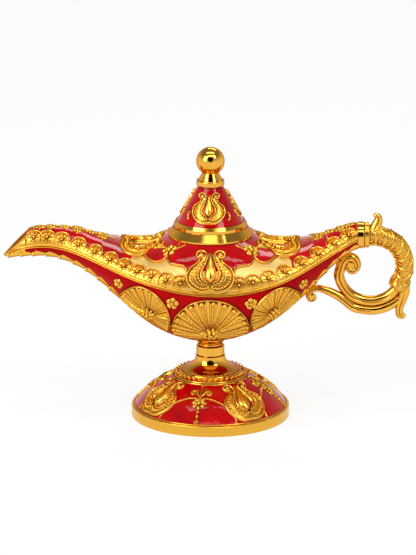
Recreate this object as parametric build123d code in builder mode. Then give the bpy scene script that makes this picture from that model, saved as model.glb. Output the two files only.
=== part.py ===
from build123d import *

import os
from math import asin, cos, degrees, radians, sin

# A genie oil lamp in gilt cast metal: a boat-shaped oil bowl in two castings on a turned stem and an
# enamelled foot, with a scrolled handle at the tail and a pointed lid that lifts off the filler neck.
# Millimetres. +Z is up, the spout points along -X and the handle along +X. The origin is the middle of
# the underside of the foot.

# Fits and clearances
LID_PLAY = 0.3  # round the lid's sleeve, in the filler neck and in the lid's rings
BOLT_PLAY = 0.15  # round a rod or screw in its hole
JOINT_GAP = 0.05  # soldered joints along the castings
CONTACT_GAP = 0.2  # between the handle's scrolls and the bowl

# Foot and stem, each height measured from the piece below
BASE_R = 41.7
RIM_H = 5.5
RIM_WALL = 2.5
RIM_SHELF = 1.5  # inward shelf above the cover plate
RIM_LEDGE = 1.3  # gilt ledge that shows outside the dome
FELT_T = 1.6
PLATE_T = 1.0
DOME_H = 16.1
DOME_WALL = 1.6
DOME_WEB_T = 2.0
DOME_BULGE = 1.4
BEADED_RING_R = 19.5
BEADED_RING_LIP = 0.9
BEADED_RING_H = 3.0
TRUMPET_FOOT_R = 15.5
TRUMPET_H = 7.8
TRUMPET_EDGE = 0.5
TRUMPET_NECK_R = 7.7
GROOVE_H = 0.7
GROOVE_R = 6.3
STEM_RING_R = 7.4
STEM_RING_H = 5.0
STEM_RING_CHAMFER = 0.6
CUP_H = 3.4
CUP_FOOT_R = 6.3
CUP_LIP_R = 8.2

# Tie rod through the stem
ROD_R = 2.5
ROD_TAIL = 1.5  # thread left past each nut
NUT_FLATS = 8.0
NUT_H = 4.0
WASHER_R = 5.0
WASHER_T = 1.0
SEAL_R = 5.5
SEAL_T = 1.2
BOSS_R = 6.5
BOSS_H = 3.4  # from the underside of the bowl to the seat of the seal

# Oil bowl: reaches from the stem's axis, widths and heights
WALL = 1.6
SPOUT_REACH = 109.2
BEAK_L = 14.2  # the open beak, from the end of the closed spout to its point
MOUTH_REACH = SPOUT_REACH - BEAK_L
TAIL_REACH = 77.0
BOWL_HALF_WIDTH = 38.0
MOUTH_HALF_WIDTH = 7.4
TAIL_HALF_WIDTH = 7.3
LIP_HALF_WIDTH = 1.0
BOWL_DEPTH = 34.0
DECK_CROWN = 26.5  # middle of the deck above the seam, where the filler neck is cut
SHOULDER_RISE = 22.2  # deck above the seam, at the neck's edge
WAIST_RISE = 17.6  # lowest stretch of the deck's ridge, each side of the lid
SPOUT_SEAM_RISE = 18.2  # how far the seam climbs from the middle of the bowl to the spout
SPOUT_CROWN = 7.8
SPOUT_KEEL = 6.6
LIP_DROP = 6.9  # from the seam at the mouth down to the point of the beak
LIP_KEEL = 1.0
TAIL_SEAM_RISE = 21.7
TAIL_CROWN = 6.7
TAIL_KEEL = 6.1
ARCH = 0.5523  # handle length of a cubic curve that makes a quarter of an ellipse
SEAM_BEAD_H = 1.2
SEAM_BEAD_T = 0.7
MOUTH_SLOPE = 44.5  # slant of the spout's open end, in degrees
MOUTH_RING_T = 1.0
MOUTH_SLOT_L = 11.0
MOUTH_SLOT_W = 4.8

# Cast relief soldered on the deck: palmettes about the lid and rows of arched niches along the seam
RELIEF_PAD = 0.6  # ground of the relief, above the deck
RELIEF_RIB = 1.5  # ribs and rosettes, above the deck
PALMETTE_RIM_W = 1.5
PALMETTE_LEAF_W = 1.2
PALMETTE_REACH = 8.0  # how far a palmette bends away from the flat that it is drawn on
FRONT_PALMETTE_W = 25.2
FRONT_PALMETTE_H = 24.2
FRONT_PALMETTE_LEAN = 29.5  # middle of the front palmette, in degrees up from the seam
RIDGE_PALMETTE_W = 37.0
RIDGE_PALMETTE_H = 24.0
RIDGE_PALMETTE_FOOT = 47.4  # from the lid's axis to the foot of the palmette
NICHE_RIM_W = 0.95
NICHE_UP = 4.5  # middle of the arch above the seam, along the deck
NICHE_FOOT = 1.2  # foot of the arch above the seam
NICHE_LIFT = 0.2  # solder under the middle of the arch
NICHE_LAP = 0.5  # how far neighbouring arches run into each other
ROSETTE_R = 2.9
SPOUT_NICHES = (15.4, 22.8, 30.3, 37.6, 44.6, 51.9, 60.0, 68.6, 77.2, 85.0, 91.0)  # from the lid's axis
TAIL_NICHES = (14.6, 21.8, 29.9, 38.3, 46.8, 55.2, 63.2, 70.6)

# Filler neck and lid
NECK_R = 20.5
NECK_BORE_R = 15.0
NECK_H = 4.2
NECK_PROUD = 0.4  # seat of the lid above the deck's edge
SLEEVE_WALL = 1.2
SLEEVE_DROP = 7.0
SKIRT_R = 22.5
SKIRT_EDGE = 0.8
SKIRT_H = 4.4
SKIRT_TOP_R = 19.6
BAND_R = 19.2
BAND_TOP_R = 18.2
BAND_H = 3.3
CONE_R = 17.2
CONE_TOP_R = 6.5
CONE_H = 18.5
CONE_WALL = 1.5
CONE_WEB_T = 2.2
COLLAR_R = 7.3
COLLAR_H = 3.2
COLLAR_ROUND = 0.7
FINIAL_FOOT_R = 6.2
FINIAL_WAIST_R = 4.4
FINIAL_STEM_H = 3.7
BALL_R = 7.45
SCREW_R = 1.5
SCREW_GRIP = 8.0  # thread held in the finial
SCREW_HEAD_R = 3.0
SCREW_HEAD_H = 2.2
SCREW_SLOT = 0.8
LID_WASHER_R = 4.2
LID_WASHER_T = 0.8

# Handle
FERRULE_L = 3.2
FERRULE_PROUD = 0.6
FERRULE_ROUND = 0.5
COLLAR_RING_L = 2.8
COLLAR_RING_R = 6.6
COLLAR_RING_ROUND = 0.6
STUD_R = 1.5
STUD_IN_GRIP = 6.0
TAIL_NUT_FLATS = 5.5
TAIL_NUT_H = 2.4
GRIP_R = 5.4
GRIP_END_R = 4.5
HOLE_R = 14.1  # finger hole of the handle
LOOP_R = 2.1
LOOP_SCROLL_R = 4.4
LOOP_EYE_R = 1.1
STRAP_R = 3.0
THUMB_LEAF_H = 7.0
THUMB_LEAF_R = 2.6
SPUR_L = 15.6
SPUR_R = 2.2
LEAF_TIP_R = 0.8
BRACKET_R = 1.9
BRACKET_WEB_R = 2.8
BRACKET_SCROLL_R = 2.9
BRACKET_EYE_R = 0.8
BRACKET_REACH = 31.0  # from the handle's middle back to the small scroll

# Heights of the stack
dome_z = RIM_H
ring_z = dome_z + DOME_H
trumpet_z = ring_z + BEADED_RING_H
trumpet_top_z = trumpet_z + TRUMPET_H
stem_ring_z = trumpet_top_z + GROOVE_H
cup_z = stem_ring_z + STEM_RING_H
bowl_z = cup_z + CUP_H
seam_z = bowl_z + BOWL_DEPTH
seat_z = seam_z + SHOULDER_RISE + NECK_PROUD
band_z = seat_z + SKIRT_H
cone_z = band_z + BAND_H
collar_z = cone_z + CONE_H
finial_z = collar_z + COLLAR_H

# Lines of the bowl
# The bowl is faired like a small boat. Four lines run from the beak to the tail: the keel under it, the
# seam where deck and hull meet, drawn in elevation and in plan, and the ridge along the deck.
tip_x = -SPOUT_REACH
mouth_x = -MOUTH_REACH
tail_x = TAIL_REACH
spout_seam_z = seam_z + SPOUT_SEAM_RISE
tail_seam_z = seam_z + TAIL_SEAM_RISE

with BuildLine(Plane.XZ) as seam_line:
    Spline(
        (tip_x, spout_seam_z - LIP_DROP),
        (mouth_x, spout_seam_z - 0.6),
        (0.88 * mouth_x, spout_seam_z + 0.2),
        (0.6 * mouth_x, seam_z + 0.65 * SPOUT_SEAM_RISE),
        (0.32 * mouth_x, seam_z + 0.23 * SPOUT_SEAM_RISE),
        (0, seam_z),
        (0.4 * tail_x, seam_z + 0.155 * TAIL_SEAM_RISE),
        (0.78 * tail_x, seam_z + 0.65 * TAIL_SEAM_RISE),
        (tail_x, tail_seam_z),
    )

with BuildLine(Plane.XY) as plan_line:
    Spline(
        (tip_x, LIP_HALF_WIDTH),
        (mouth_x, MOUTH_HALF_WIDTH),
        (0.88 * mouth_x, 1.2 * MOUTH_HALF_WIDTH),
        (0.6 * mouth_x, 0.5 * BOWL_HALF_WIDTH),
        (0.42 * mouth_x, 0.77 * BOWL_HALF_WIDTH),
        (0, BOWL_HALF_WIDTH),
        (0.52 * tail_x, 0.77 * BOWL_HALF_WIDTH),
        (0.78 * tail_x, 0.41 * BOWL_HALF_WIDTH),
        (0.91 * tail_x, 1.3 * TAIL_HALF_WIDTH),
        (tail_x, TAIL_HALF_WIDTH),
    )

with BuildLine(Plane.XZ) as keel_line:
    Spline(
        (tip_x, spout_seam_z - LIP_DROP - LIP_KEEL),
        (mouth_x, spout_seam_z - SPOUT_KEEL),
        (0.88 * mouth_x, spout_seam_z - SPOUT_KEEL - 0.2),
        (0.74 * mouth_x, bowl_z + 0.79 * (BOWL_DEPTH + SPOUT_SEAM_RISE)),
        (0.6 * mouth_x, bowl_z + 0.62 * (BOWL_DEPTH + SPOUT_SEAM_RISE)),
        (0.42 * mouth_x, bowl_z + 0.47 * BOWL_DEPTH),
        (0.21 * mouth_x, bowl_z + 0.1 * BOWL_DEPTH),
        (0, bowl_z),
        (0.26 * tail_x, bowl_z + 0.12 * BOWL_DEPTH),
        (0.52 * tail_x, bowl_z + 0.485 * BOWL_DEPTH),
        (0.79 * tail_x, bowl_z + 0.68 * (BOWL_DEPTH + TAIL_SEAM_RISE)),
        (0.91 * tail_x, bowl_z + 0.825 * (BOWL_DEPTH + TAIL_SEAM_RISE)),
        (tail_x, tail_seam_z - TAIL_KEEL),
    )

with BuildLine(Plane.XZ) as ridge_line:
    Spline(
        (tip_x, spout_seam_z + SPOUT_CROWN - 2.4),
        (mouth_x, spout_seam_z + SPOUT_CROWN - 0.7),
        (0.88 * mouth_x, spout_seam_z + SPOUT_CROWN),
        (0.74 * mouth_x, spout_seam_z + SPOUT_CROWN - 1.0),
        (0.6 * mouth_x, seam_z + WAIST_RISE + 0.43 * (SPOUT_SEAM_RISE + SPOUT_CROWN - WAIST_RISE)),
        (0.43 * mouth_x, seam_z + WAIST_RISE + 0.1),
        (-1.52 * NECK_R, seam_z + WAIST_RISE + 0.2),
        (-NECK_R, seam_z + SHOULDER_RISE),
        (0, seam_z + DECK_CROWN),
        (NECK_R, seam_z + SHOULDER_RISE),
        (1.52 * NECK_R, seam_z + WAIST_RISE + 0.3),
        (0.57 * tail_x, seam_z + WAIST_RISE),
        (0.79 * tail_x, seam_z + WAIST_RISE + 0.44 * (TAIL_SEAM_RISE + TAIL_CROWN - WAIST_RISE)),
        (tail_x, tail_seam_z + TAIL_CROWN),
    )

seam, plan, keel, ridge = (line.edge() for line in (seam_line, plan_line, keel_line, ridge_line))
FAIRING_STEPS = 30


def point_at(line, x):
    """The point of a fair line at a station x, found by halving, since every line runs along X."""
    low, high = 0.0, 1.0
    for _ in range(FAIRING_STEPS):
        middle = (low + high) / 2
        if (line @ middle).X < x:
            low = middle
        else:
            high = middle
    return line @ low


def between(start, end, count):
    """Evenly spaced stations from start to end, both included."""
    return [start + (end - start) * i / (count - 1) for i in range(count)]


def station_plane(x):
    """Cross-section plane of the bowl at x: its own x runs along Y and its own y along Z."""
    return Plane(origin=(x, 0, 0), x_dir=(0, 1, 0), z_dir=(1, 0, 0))


def half_width(x):
    return point_at(plan, x).Y


def half_ellipse(half, rim, crest):
    """Two quarter curves from rim to rim over a crest, drawn into the line being built."""
    for side in (1, -1):
        Bezier(
            (side * half, rim),
            (side * half, rim + ARCH * (crest - rim)),
            (side * ARCH * half, crest),
            (0, crest),
        )


def casting_section(x, half, rim, crest, wall):
    """Crescent section of a casting: an outer and an inner half ellipse, joined at their rims."""
    inner_half = half - wall
    with BuildSketch(station_plane(x)) as outline:
        with BuildLine():
            half_ellipse(half, rim, crest)
            half_ellipse(inner_half, rim, crest - wall if crest > rim else crest + wall)
            Line((inner_half, rim), (half, rim))
            Line((-inner_half, rim), (-half, rim))
        make_face()
    return outline.sketch


def casting_wall(x):
    """The wall thins where the beak narrows to its point."""
    return min(WALL, 0.45 * half_width(x), 0.6 * (point_at(seam, x).Z - point_at(keel, x).Z))


def turned(points):
    """A half profile in the XZ plane, radius first, to be turned about Z."""
    with BuildSketch(Plane.XZ) as profile:
        with BuildLine():
            Polyline(*points, close=True)
        make_face()
    return profile.sketch


def hex_nut(z, flats, bore):
    """Face of a nut that lies flat at height z."""
    with BuildSketch(Plane.XY.offset(z)) as face:
        RegularPolygon(flats / 2, 6, major_radius=False)
        Circle(bore, mode=Mode.SUBTRACT)
    return face.sketch


beak_stations = between(tip_x, mouth_x, 5)
bowl_stations = between(mouth_x, tail_x, 21)
all_stations = beak_stations[:-1] + bowl_stations

# The spout is cut off on a slant that runs up from the point of the beak, and a ring closes the cut
tip_z = point_at(keel, tip_x).Z
slant = Vector(-sin(radians(MOUTH_SLOPE)), 0, cos(radians(MOUTH_SLOPE)))
mouth_plane = Plane(origin=Vector(tip_x, 0, tip_z) - slant * MOUTH_RING_T, x_dir=(0, 1, 0), z_dir=slant)

# Hull: the lower casting, with a boss inside for the tie rod's seal
with BuildPart() as hull_shell:
    loft(
        [
            casting_section(
                x, half_width(x), point_at(seam, x).Z, point_at(keel, x).Z, casting_wall(x)
            )
            for x in all_stations
        ]
    )
    split(bisect_by=mouth_plane, keep=Keep.BOTTOM)
    with BuildSketch(Plane.XY.offset(bowl_z + 0.6 * WALL)):
        Circle(BOSS_R)
    extrude(amount=BOSS_H - 0.6 * WALL)
    with BuildSketch(Plane.XY.offset(cup_z)):
        Circle(ROD_R + BOLT_PLAY)
    extrude(amount=CUP_H + BOSS_H, mode=Mode.SUBTRACT)

# Deck: the upper casting, open at the filler neck
with BuildPart() as deck_shell:
    loft(
        [
            casting_section(
                x,
                half_width(x),
                point_at(seam, x).Z + JOINT_GAP,
                point_at(ridge, x).Z,
                casting_wall(x),
            )
            for x in all_stations
        ]
    )
    split(bisect_by=mouth_plane, keep=Keep.BOTTOM)
    with BuildSketch(Plane.XY.offset(seam_z)):
        Circle(NECK_R + JOINT_GAP)
    extrude(amount=2 * DECK_CROWN, mode=Mode.SUBTRACT)

# Ring on the slanting end of the spout, with the slot that the flame stood in
with BuildPart() as spout_form:
    for x in beak_stations + bowl_stations[1:4]:
        half, rim = half_width(x), point_at(seam, x).Z
        with BuildSketch(station_plane(x)):
            with BuildLine():
                half_ellipse(half, rim, point_at(keel, x).Z)
                half_ellipse(half, rim, point_at(ridge, x).Z)
            make_face()
    loft()

mouth_faces = section(spout_form.part, section_by=mouth_plane).faces()
mouth_middle = mouth_plane.to_local_coords(mouth_faces[0].center())
with BuildPart() as mouth_ring:
    extrude(mouth_faces[0], amount=MOUTH_RING_T, dir=slant)
    with BuildSketch(mouth_plane):
        with Locations((0, mouth_middle.Y)):
            SlotOverall(MOUTH_SLOT_L, MOUTH_SLOT_W, rotation=90)
    extrude(amount=MOUTH_RING_T, mode=Mode.SUBTRACT)

# Bead that covers the joint of the two castings, one length down each side
with BuildPart() as seam_bead:
    for side in (1, -1):
        for x in bowl_stations:
            inner = half_width(x) + JOINT_GAP
            middle_z = point_at(seam, x).Z
            with BuildSketch(station_plane(x)):
                with BuildLine():
                    Polyline(
                        (side * inner, middle_z - SEAM_BEAD_H / 2),
                        (side * (inner + SEAM_BEAD_T), middle_z - SEAM_BEAD_H / 4),
                        (side * (inner + SEAM_BEAD_T), middle_z + SEAM_BEAD_H / 4),
                        (side * inner, middle_z + SEAM_BEAD_H / 2),
                        close=True,
                    )
                make_face()
        loft()

# Relief on the deck, drawn on flats that touch it. A palmette is cut through a skin of the deck for its
# ground, and again through a higher skin for its ribs. The small niches are flat plates.
def relief_skin(bottom, top):
    """A skin over the deck between two heights above it."""
    with BuildPart() as skin:
        loft(
            [
                casting_section(
                    x,
                    half_width(x) + top,
                    point_at(seam, x).Z + JOINT_GAP,
                    point_at(ridge, x).Z + top,
                    top - bottom,
                )
                for x in all_stations
            ]
        )
    return skin.part


def deck_point(x, lean):
    """A point of the deck: 0 degrees is the seam on the near side, and 90 the ridge."""
    rim, crest = point_at(seam, x).Z, point_at(ridge, x).Z
    return Vector(x, -half_width(x) * cos(radians(lean)), rim + (crest - rim) * sin(radians(lean)))


def deck_flat(x, lean):
    """The flat that touches the deck there: its own x runs along the bowl and its own y to the ridge."""
    along = deck_point(x + 1, lean) - deck_point(x - 1, lean)
    across = deck_point(x, lean + 1) - deck_point(x, lean - 1)
    return Plane(origin=deck_point(x, lean), x_dir=along, z_dir=along.cross(across))


# Lines of a palmette's right half, in shares of its width and height
PALMETTE_EDGE = [
    (0, 0), (0.25, 0.0), (0.42, 0.1), (0.5, 0.3), (0.46, 0.53), (0.34, 0.66), (0.29, 0.75), (0.33, 0.88),
    (0.22, 0.99), (0.1, 0.95), (0.05, 0.85), (0, 0.82),
]
PALMETTE_RIM = [(0, 0.03), (0.245, 0.035), (0.4, 0.125), (0.465, 0.3), (0.43, 0.5), (0.31, 0.63), (0.2, 0.72)]
PALMETTE_LEAF = [(0, 0.17), (0.2, 0.19), (0.31, 0.28), (0.33, 0.4), (0.29, 0.56), (0.2, 0.68), (0.1, 0.78)]
PALMETTE_DROP = [(0, 0.26), (0.12, 0.34), (0.14, 0.45), (0.09, 0.66), (0, 0.93)]
PALMETTE_CURL = (0.19, 0.865)
PALMETTE_CURL_R = 0.085


def palmette_line(points, width, height):
    """A line of both halves of a palmette, its middle at the origin, drawn into the line being built."""
    for side in (1, -1):
        Spline(*[(side * u * width, (v - 0.5) * height) for u, v in points])


def palmette(flat, width, height):
    """A palmette on a flat: two curling lobes with a rim and a leaf in each, and a drop between them."""
    with BuildPart() as ribs:
        with BuildSketch(flat):
            with BuildLine():
                palmette_line(PALMETTE_RIM, width, height)
            trace(line_width=PALMETTE_RIM_W)
            with BuildLine():
                palmette_line(PALMETTE_LEAF, width, height)
            trace(line_width=PALMETTE_LEAF_W)
            with BuildLine():
                palmette_line(PALMETTE_DROP, width, height)
            make_face()
            u, v = PALMETTE_CURL
            with Locations(*[(side * u * width, (v - 0.5) * height) for side in (1, -1)]):
                Circle(PALMETTE_CURL_R * height)
        extrude(amount=PALMETTE_REACH, both=True)
        add(rib_skin, mode=Mode.INTERSECT)
    with BuildPart() as casting:
        with BuildSketch(flat):
            with BuildLine():
                palmette_line(PALMETTE_EDGE, width, height)
            make_face()
        extrude(amount=PALMETTE_REACH, both=True)
        add(pad_skin, mode=Mode.INTERSECT)
        add(ribs.part)
    return casting.part


pad_skin = relief_skin(JOINT_GAP, RELIEF_PAD)
rib_skin = relief_skin(RELIEF_PAD / 2, RELIEF_RIB)

front_flat = deck_flat(0, FRONT_PALMETTE_LEAN)

with BuildPart() as front_palmette:
    add(palmette(front_flat, FRONT_PALMETTE_W, FRONT_PALMETTE_H))

with BuildPart() as back_palmette:
    mirror(front_palmette.part, about=Plane.XZ)


def ridge_flat(side):
    """The flat of a palmette on the ridge, towards the tail or the spout: its own y points to the lid."""
    touching = deck_flat(side * (RIDGE_PALMETTE_FOOT - RIDGE_PALMETTE_H / 2), 90)
    return Plane(origin=touching.origin, x_dir=(0, side, 0), z_dir=touching.z_dir)


with BuildPart() as spout_palmette:
    add(palmette(ridge_flat(-1), RIDGE_PALMETTE_W, RIDGE_PALMETTE_H))

with BuildPart() as tail_palmette:
    add(palmette(ridge_flat(1), RIDGE_PALMETTE_W, RIDGE_PALMETTE_H))


def niche_flat(x):
    """The flat of a niche, touching the deck in the middle of its arch."""
    rim, crest = point_at(seam, x).Z, point_at(ridge, x).Z
    with BuildLine(station_plane(x)) as deck_line:
        half_ellipse(half_width(x), rim, crest)
    near_side = deck_line.edges().sort_by(Axis.Y)[0]
    middle = near_side.position_at(NICHE_UP, position_mode=PositionMode.LENGTH)
    return deck_flat(x, degrees(asin((middle.Z - rim) / (crest - rim))))


def arch(radius, mode=Mode.ADD):
    """A round head on straight legs, about the middle of the head, drawn into the sketch being built."""
    leg = NICHE_UP - NICHE_FOOT
    with BuildLine() as outline:
        CenterArc((0, 0), radius, 0, 180)
        Polyline((-radius, 0), (-radius, -leg), (radius, -leg), (radius, 0))
    make_face(outline.edges(), mode=mode)


def niche_row(stations):
    """A row of arched niches on the near side, joined at their legs, with a rosette in each."""
    flats = [niche_flat(x).offset(NICHE_LIFT) for x in stations]
    pitches = [(a.origin - b.origin).length for a, b in zip(flats, flats[1:])]
    radii = [pitch / 2 + NICHE_LAP for pitch in pitches + pitches[-1:]]
    cleared_w, cleared_h = FRONT_PALMETTE_W + 2 * JOINT_GAP, FRONT_PALMETTE_H + 2 * JOINT_GAP
    with BuildPart() as row:
        for flat, radius in zip(flats, radii):
            with BuildSketch(flat):
                arch(radius)
            extrude(amount=RELIEF_PAD)
            with BuildSketch(flat):
                arch(radius)
                arch(radius - NICHE_RIM_W, Mode.SUBTRACT)
                Circle(min(ROSETTE_R, radius - 1.5 * NICHE_RIM_W))
            extrude(amount=RELIEF_RIB)
        with BuildSketch(front_flat):
            with BuildLine():
                palmette_line(PALMETTE_EDGE, cleared_w, cleared_h)
            make_face()
        extrude(amount=PALMETTE_REACH, both=True, mode=Mode.SUBTRACT)
    return row.part


with BuildPart() as near_spout_niches:
    add(niche_row([-x for x in SPOUT_NICHES]))

with BuildPart() as near_tail_niches:
    add(niche_row(TAIL_NICHES))

with BuildPart() as far_spout_niches:
    mirror(near_spout_niches.part, about=Plane.XZ)

with BuildPart() as far_tail_niches:
    mirror(near_tail_niches.part, about=Plane.XZ)

# Filler neck: the ring in the deck that the lid's sleeve drops into
with BuildPart() as filler_neck:
    with BuildSketch(Plane.XY.offset(seat_z - NECK_H)):
        Circle(NECK_R)
        Circle(NECK_BORE_R, mode=Mode.SUBTRACT)
    extrude(amount=NECK_H)

# Foot, from the table up
with BuildPart() as base_rim:
    revolve(
        turned(
            [
                (BASE_R - RIM_WALL, 0),
                (BASE_R, 0),
                (BASE_R, RIM_H),
                (BASE_R - RIM_WALL - RIM_SHELF, RIM_H),
                (BASE_R - RIM_WALL - RIM_SHELF, FELT_T + PLATE_T),
                (BASE_R - RIM_WALL, FELT_T + PLATE_T),
            ]
        ),
        axis=Axis.Z,
    )
    outer_edges = base_rim.edges().filter_by(GeomType.CIRCLE).sort_by(SortBy.RADIUS)[-2:]
    fillet(outer_edges.sort_by(Axis.Z)[-1], RIM_LEDGE / 3)

with BuildPart() as base_plate:
    with BuildSketch(Plane.XY.offset(FELT_T)):
        Circle(BASE_R - RIM_WALL - JOINT_GAP)
    extrude(amount=PLATE_T)

with BuildPart() as felt_pad:
    with BuildSketch():
        Circle(BASE_R - RIM_WALL - JOINT_GAP)
    extrude(amount=FELT_T)

dome_foot_r = BASE_R - RIM_LEDGE
dome_slope = Vector(BEADED_RING_R - dome_foot_r, DOME_H)
dome_side = Vector(DOME_H, dome_foot_r - BEADED_RING_R).normalized()
dome_middle = Vector(dome_foot_r, dome_z) + dome_slope * 0.5 + dome_side * DOME_BULGE

with BuildPart() as base_dome:
    with BuildSketch(Plane.XZ):
        with BuildLine():
            outside = ThreePointArc((dome_foot_r, dome_z), dome_middle, (BEADED_RING_R, ring_z))
            Line(outside @ 1, (0, ring_z))
            Line((0, ring_z), (0, ring_z - DOME_WEB_T))
            Line((0, ring_z - DOME_WEB_T), (BEADED_RING_R - DOME_WALL, ring_z - DOME_WEB_T))
            ThreePointArc(
                (BEADED_RING_R - DOME_WALL, ring_z - DOME_WEB_T),
                dome_middle - dome_side * DOME_WALL,
                (dome_foot_r - DOME_WALL, dome_z),
            )
            Line((dome_foot_r - DOME_WALL, dome_z), outside @ 0)
        make_face()
    revolve(axis=Axis.Z)
    with BuildSketch(Plane.XY.offset(ring_z - DOME_WEB_T)):
        Circle(ROD_R + BOLT_PLAY)
    extrude(amount=DOME_WEB_T, mode=Mode.SUBTRACT)

with BuildPart() as beaded_ring:
    revolve(
        turned(
            [
                (ROD_R + BOLT_PLAY, ring_z),
                (BEADED_RING_R, ring_z),
                (BEADED_RING_R, ring_z + BEADED_RING_LIP),
                (BEADED_RING_R - BEADED_RING_LIP, ring_z + BEADED_RING_LIP),
                (TRUMPET_FOOT_R, trumpet_z),
                (ROD_R + BOLT_PLAY, trumpet_z),
            ]
        ),
        axis=Axis.Z,
    )

# Stem
with BuildPart() as stem_trumpet:
    with BuildSketch(Plane.XZ):
        with BuildLine():
            Bezier(
                (TRUMPET_NECK_R, trumpet_top_z),
                (TRUMPET_NECK_R, trumpet_top_z - ARCH * (TRUMPET_H - TRUMPET_EDGE)),
                (TRUMPET_FOOT_R - ARCH * (TRUMPET_FOOT_R - TRUMPET_NECK_R), trumpet_z + TRUMPET_EDGE),
                (TRUMPET_FOOT_R, trumpet_z + TRUMPET_EDGE),
            )
            Polyline(
                (TRUMPET_FOOT_R, trumpet_z + TRUMPET_EDGE),
                (TRUMPET_FOOT_R, trumpet_z),
                (ROD_R + BOLT_PLAY, trumpet_z),
                (ROD_R + BOLT_PLAY, stem_ring_z),
                (GROOVE_R, stem_ring_z),
                (GROOVE_R, trumpet_top_z),
                (TRUMPET_NECK_R, trumpet_top_z),
            )
        make_face()
    revolve(axis=Axis.Z)

with BuildPart() as stem_ring:
    revolve(
        turned(
            [
                (ROD_R + BOLT_PLAY, stem_ring_z),
                (STEM_RING_R, stem_ring_z),
                (STEM_RING_R, cup_z - STEM_RING_CHAMFER),
                (STEM_RING_R - STEM_RING_CHAMFER, cup_z),
                (ROD_R + BOLT_PLAY, cup_z),
            ]
        ),
        axis=Axis.Z,
    )

# The cup is cut to the underside of the bowl that it carries
cup_lip_z = bowl_z + 0.5 * BOWL_DEPTH
with BuildPart() as hull_form:
    for x in bowl_stations:
        with BuildSketch(station_plane(x)):
            half, rim = half_width(x), point_at(seam, x).Z
            with BuildLine():
                half_ellipse(half, rim, point_at(keel, x).Z)
                Line((-half, rim), (half, rim))
            make_face()
    loft()

with BuildPart() as bowl_cup:
    revolve(
        turned(
            [
                (ROD_R + BOLT_PLAY, cup_z),
                (CUP_FOOT_R, cup_z),
                (CUP_FOOT_R, cup_z + GROOVE_H),
                (CUP_LIP_R, bowl_z),
                (CUP_LIP_R, cup_lip_z),
                (ROD_R + BOLT_PLAY, cup_lip_z),
            ]
        ),
        axis=Axis.Z,
    )
    add(hull_form.part, mode=Mode.SUBTRACT)


# Tie rod: it draws the foot, the stem and the bowl together, with an oil seal in the bowl
seal_z = bowl_z + BOSS_H
top_nut_z = seal_z + SEAL_T
washer_z = ring_z - DOME_WEB_T - WASHER_T
bottom_nut_z = washer_z - NUT_H

with BuildPart() as tie_rod:
    with BuildSketch(Plane.XY.offset(bottom_nut_z - ROD_TAIL)):
        Circle(ROD_R)
    extrude(amount=top_nut_z + NUT_H - bottom_nut_z + 2 * ROD_TAIL)
    chamfer(tie_rod.edges().filter_by(GeomType.CIRCLE), ROD_R / 5)

with BuildPart() as rod_seal:
    with BuildSketch(Plane.XY.offset(seal_z)):
        Circle(SEAL_R)
        Circle(ROD_R + JOINT_GAP, mode=Mode.SUBTRACT)
    extrude(amount=SEAL_T)

with BuildPart() as rod_top_nut:
    extrude(hex_nut(top_nut_z, NUT_FLATS, ROD_R + JOINT_GAP), amount=NUT_H)

with BuildPart() as rod_washer:
    with BuildSketch(Plane.XY.offset(washer_z)):
        Circle(WASHER_R)
        Circle(ROD_R + BOLT_PLAY, mode=Mode.SUBTRACT)
    extrude(amount=WASHER_T)

with BuildPart() as rod_bottom_nut:
    extrude(hex_nut(bottom_nut_z, NUT_FLATS, ROD_R + JOINT_GAP), amount=NUT_H)

# Lid
sleeve_r = NECK_BORE_R - LID_PLAY
ring_bore_r = sleeve_r + LID_PLAY

with BuildPart() as lid_sleeve:
    with BuildSketch(Plane.XY.offset(seat_z - SLEEVE_DROP)):
        Circle(sleeve_r)
        Circle(sleeve_r - SLEEVE_WALL, mode=Mode.SUBTRACT)
    extrude(amount=SLEEVE_DROP + SKIRT_H + BAND_H - LID_PLAY)

with BuildPart() as lid_skirt:
    revolve(
        turned(
            [
                (ring_bore_r, seat_z),
                (SKIRT_R, seat_z),
                (SKIRT_R, seat_z + SKIRT_EDGE),
                (SKIRT_TOP_R, band_z),
                (ring_bore_r, band_z),
            ]
        ),
        axis=Axis.Z,
    )

with BuildPart() as lid_band:
    revolve(
        turned(
            [
                (ring_bore_r, band_z),
                (BAND_R, band_z),
                (BAND_R, band_z + BAND_H / 2),
                (BAND_TOP_R, cone_z),
                (ring_bore_r, cone_z),
            ]
        ),
        axis=Axis.Z,
    )

with BuildPart() as lid_cone:
    revolve(
        turned(
            [
                (CONE_R - CONE_WALL, cone_z),
                (CONE_R, cone_z),
                (CONE_TOP_R, collar_z),
                (SCREW_R + BOLT_PLAY, collar_z),
                (SCREW_R + BOLT_PLAY, collar_z - CONE_WEB_T),
                (CONE_TOP_R - CONE_WALL / 2, collar_z - CONE_WEB_T),
            ]
        ),
        axis=Axis.Z,
    )

with BuildPart() as finial_collar:
    with BuildSketch(Plane.XY.offset(collar_z)):
        Circle(COLLAR_R)
        Circle(SCREW_R + BOLT_PLAY, mode=Mode.SUBTRACT)
    extrude(amount=COLLAR_H)
    fillet(finial_collar.edges().filter_by(GeomType.CIRCLE).sort_by(SortBy.RADIUS)[-2:], COLLAR_ROUND)

ball_rise = (BALL_R**2 - FINIAL_WAIST_R**2) ** 0.5
ball_z = finial_z + FINIAL_STEM_H + ball_rise
screw_top_z = finial_z + SCREW_GRIP

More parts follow.
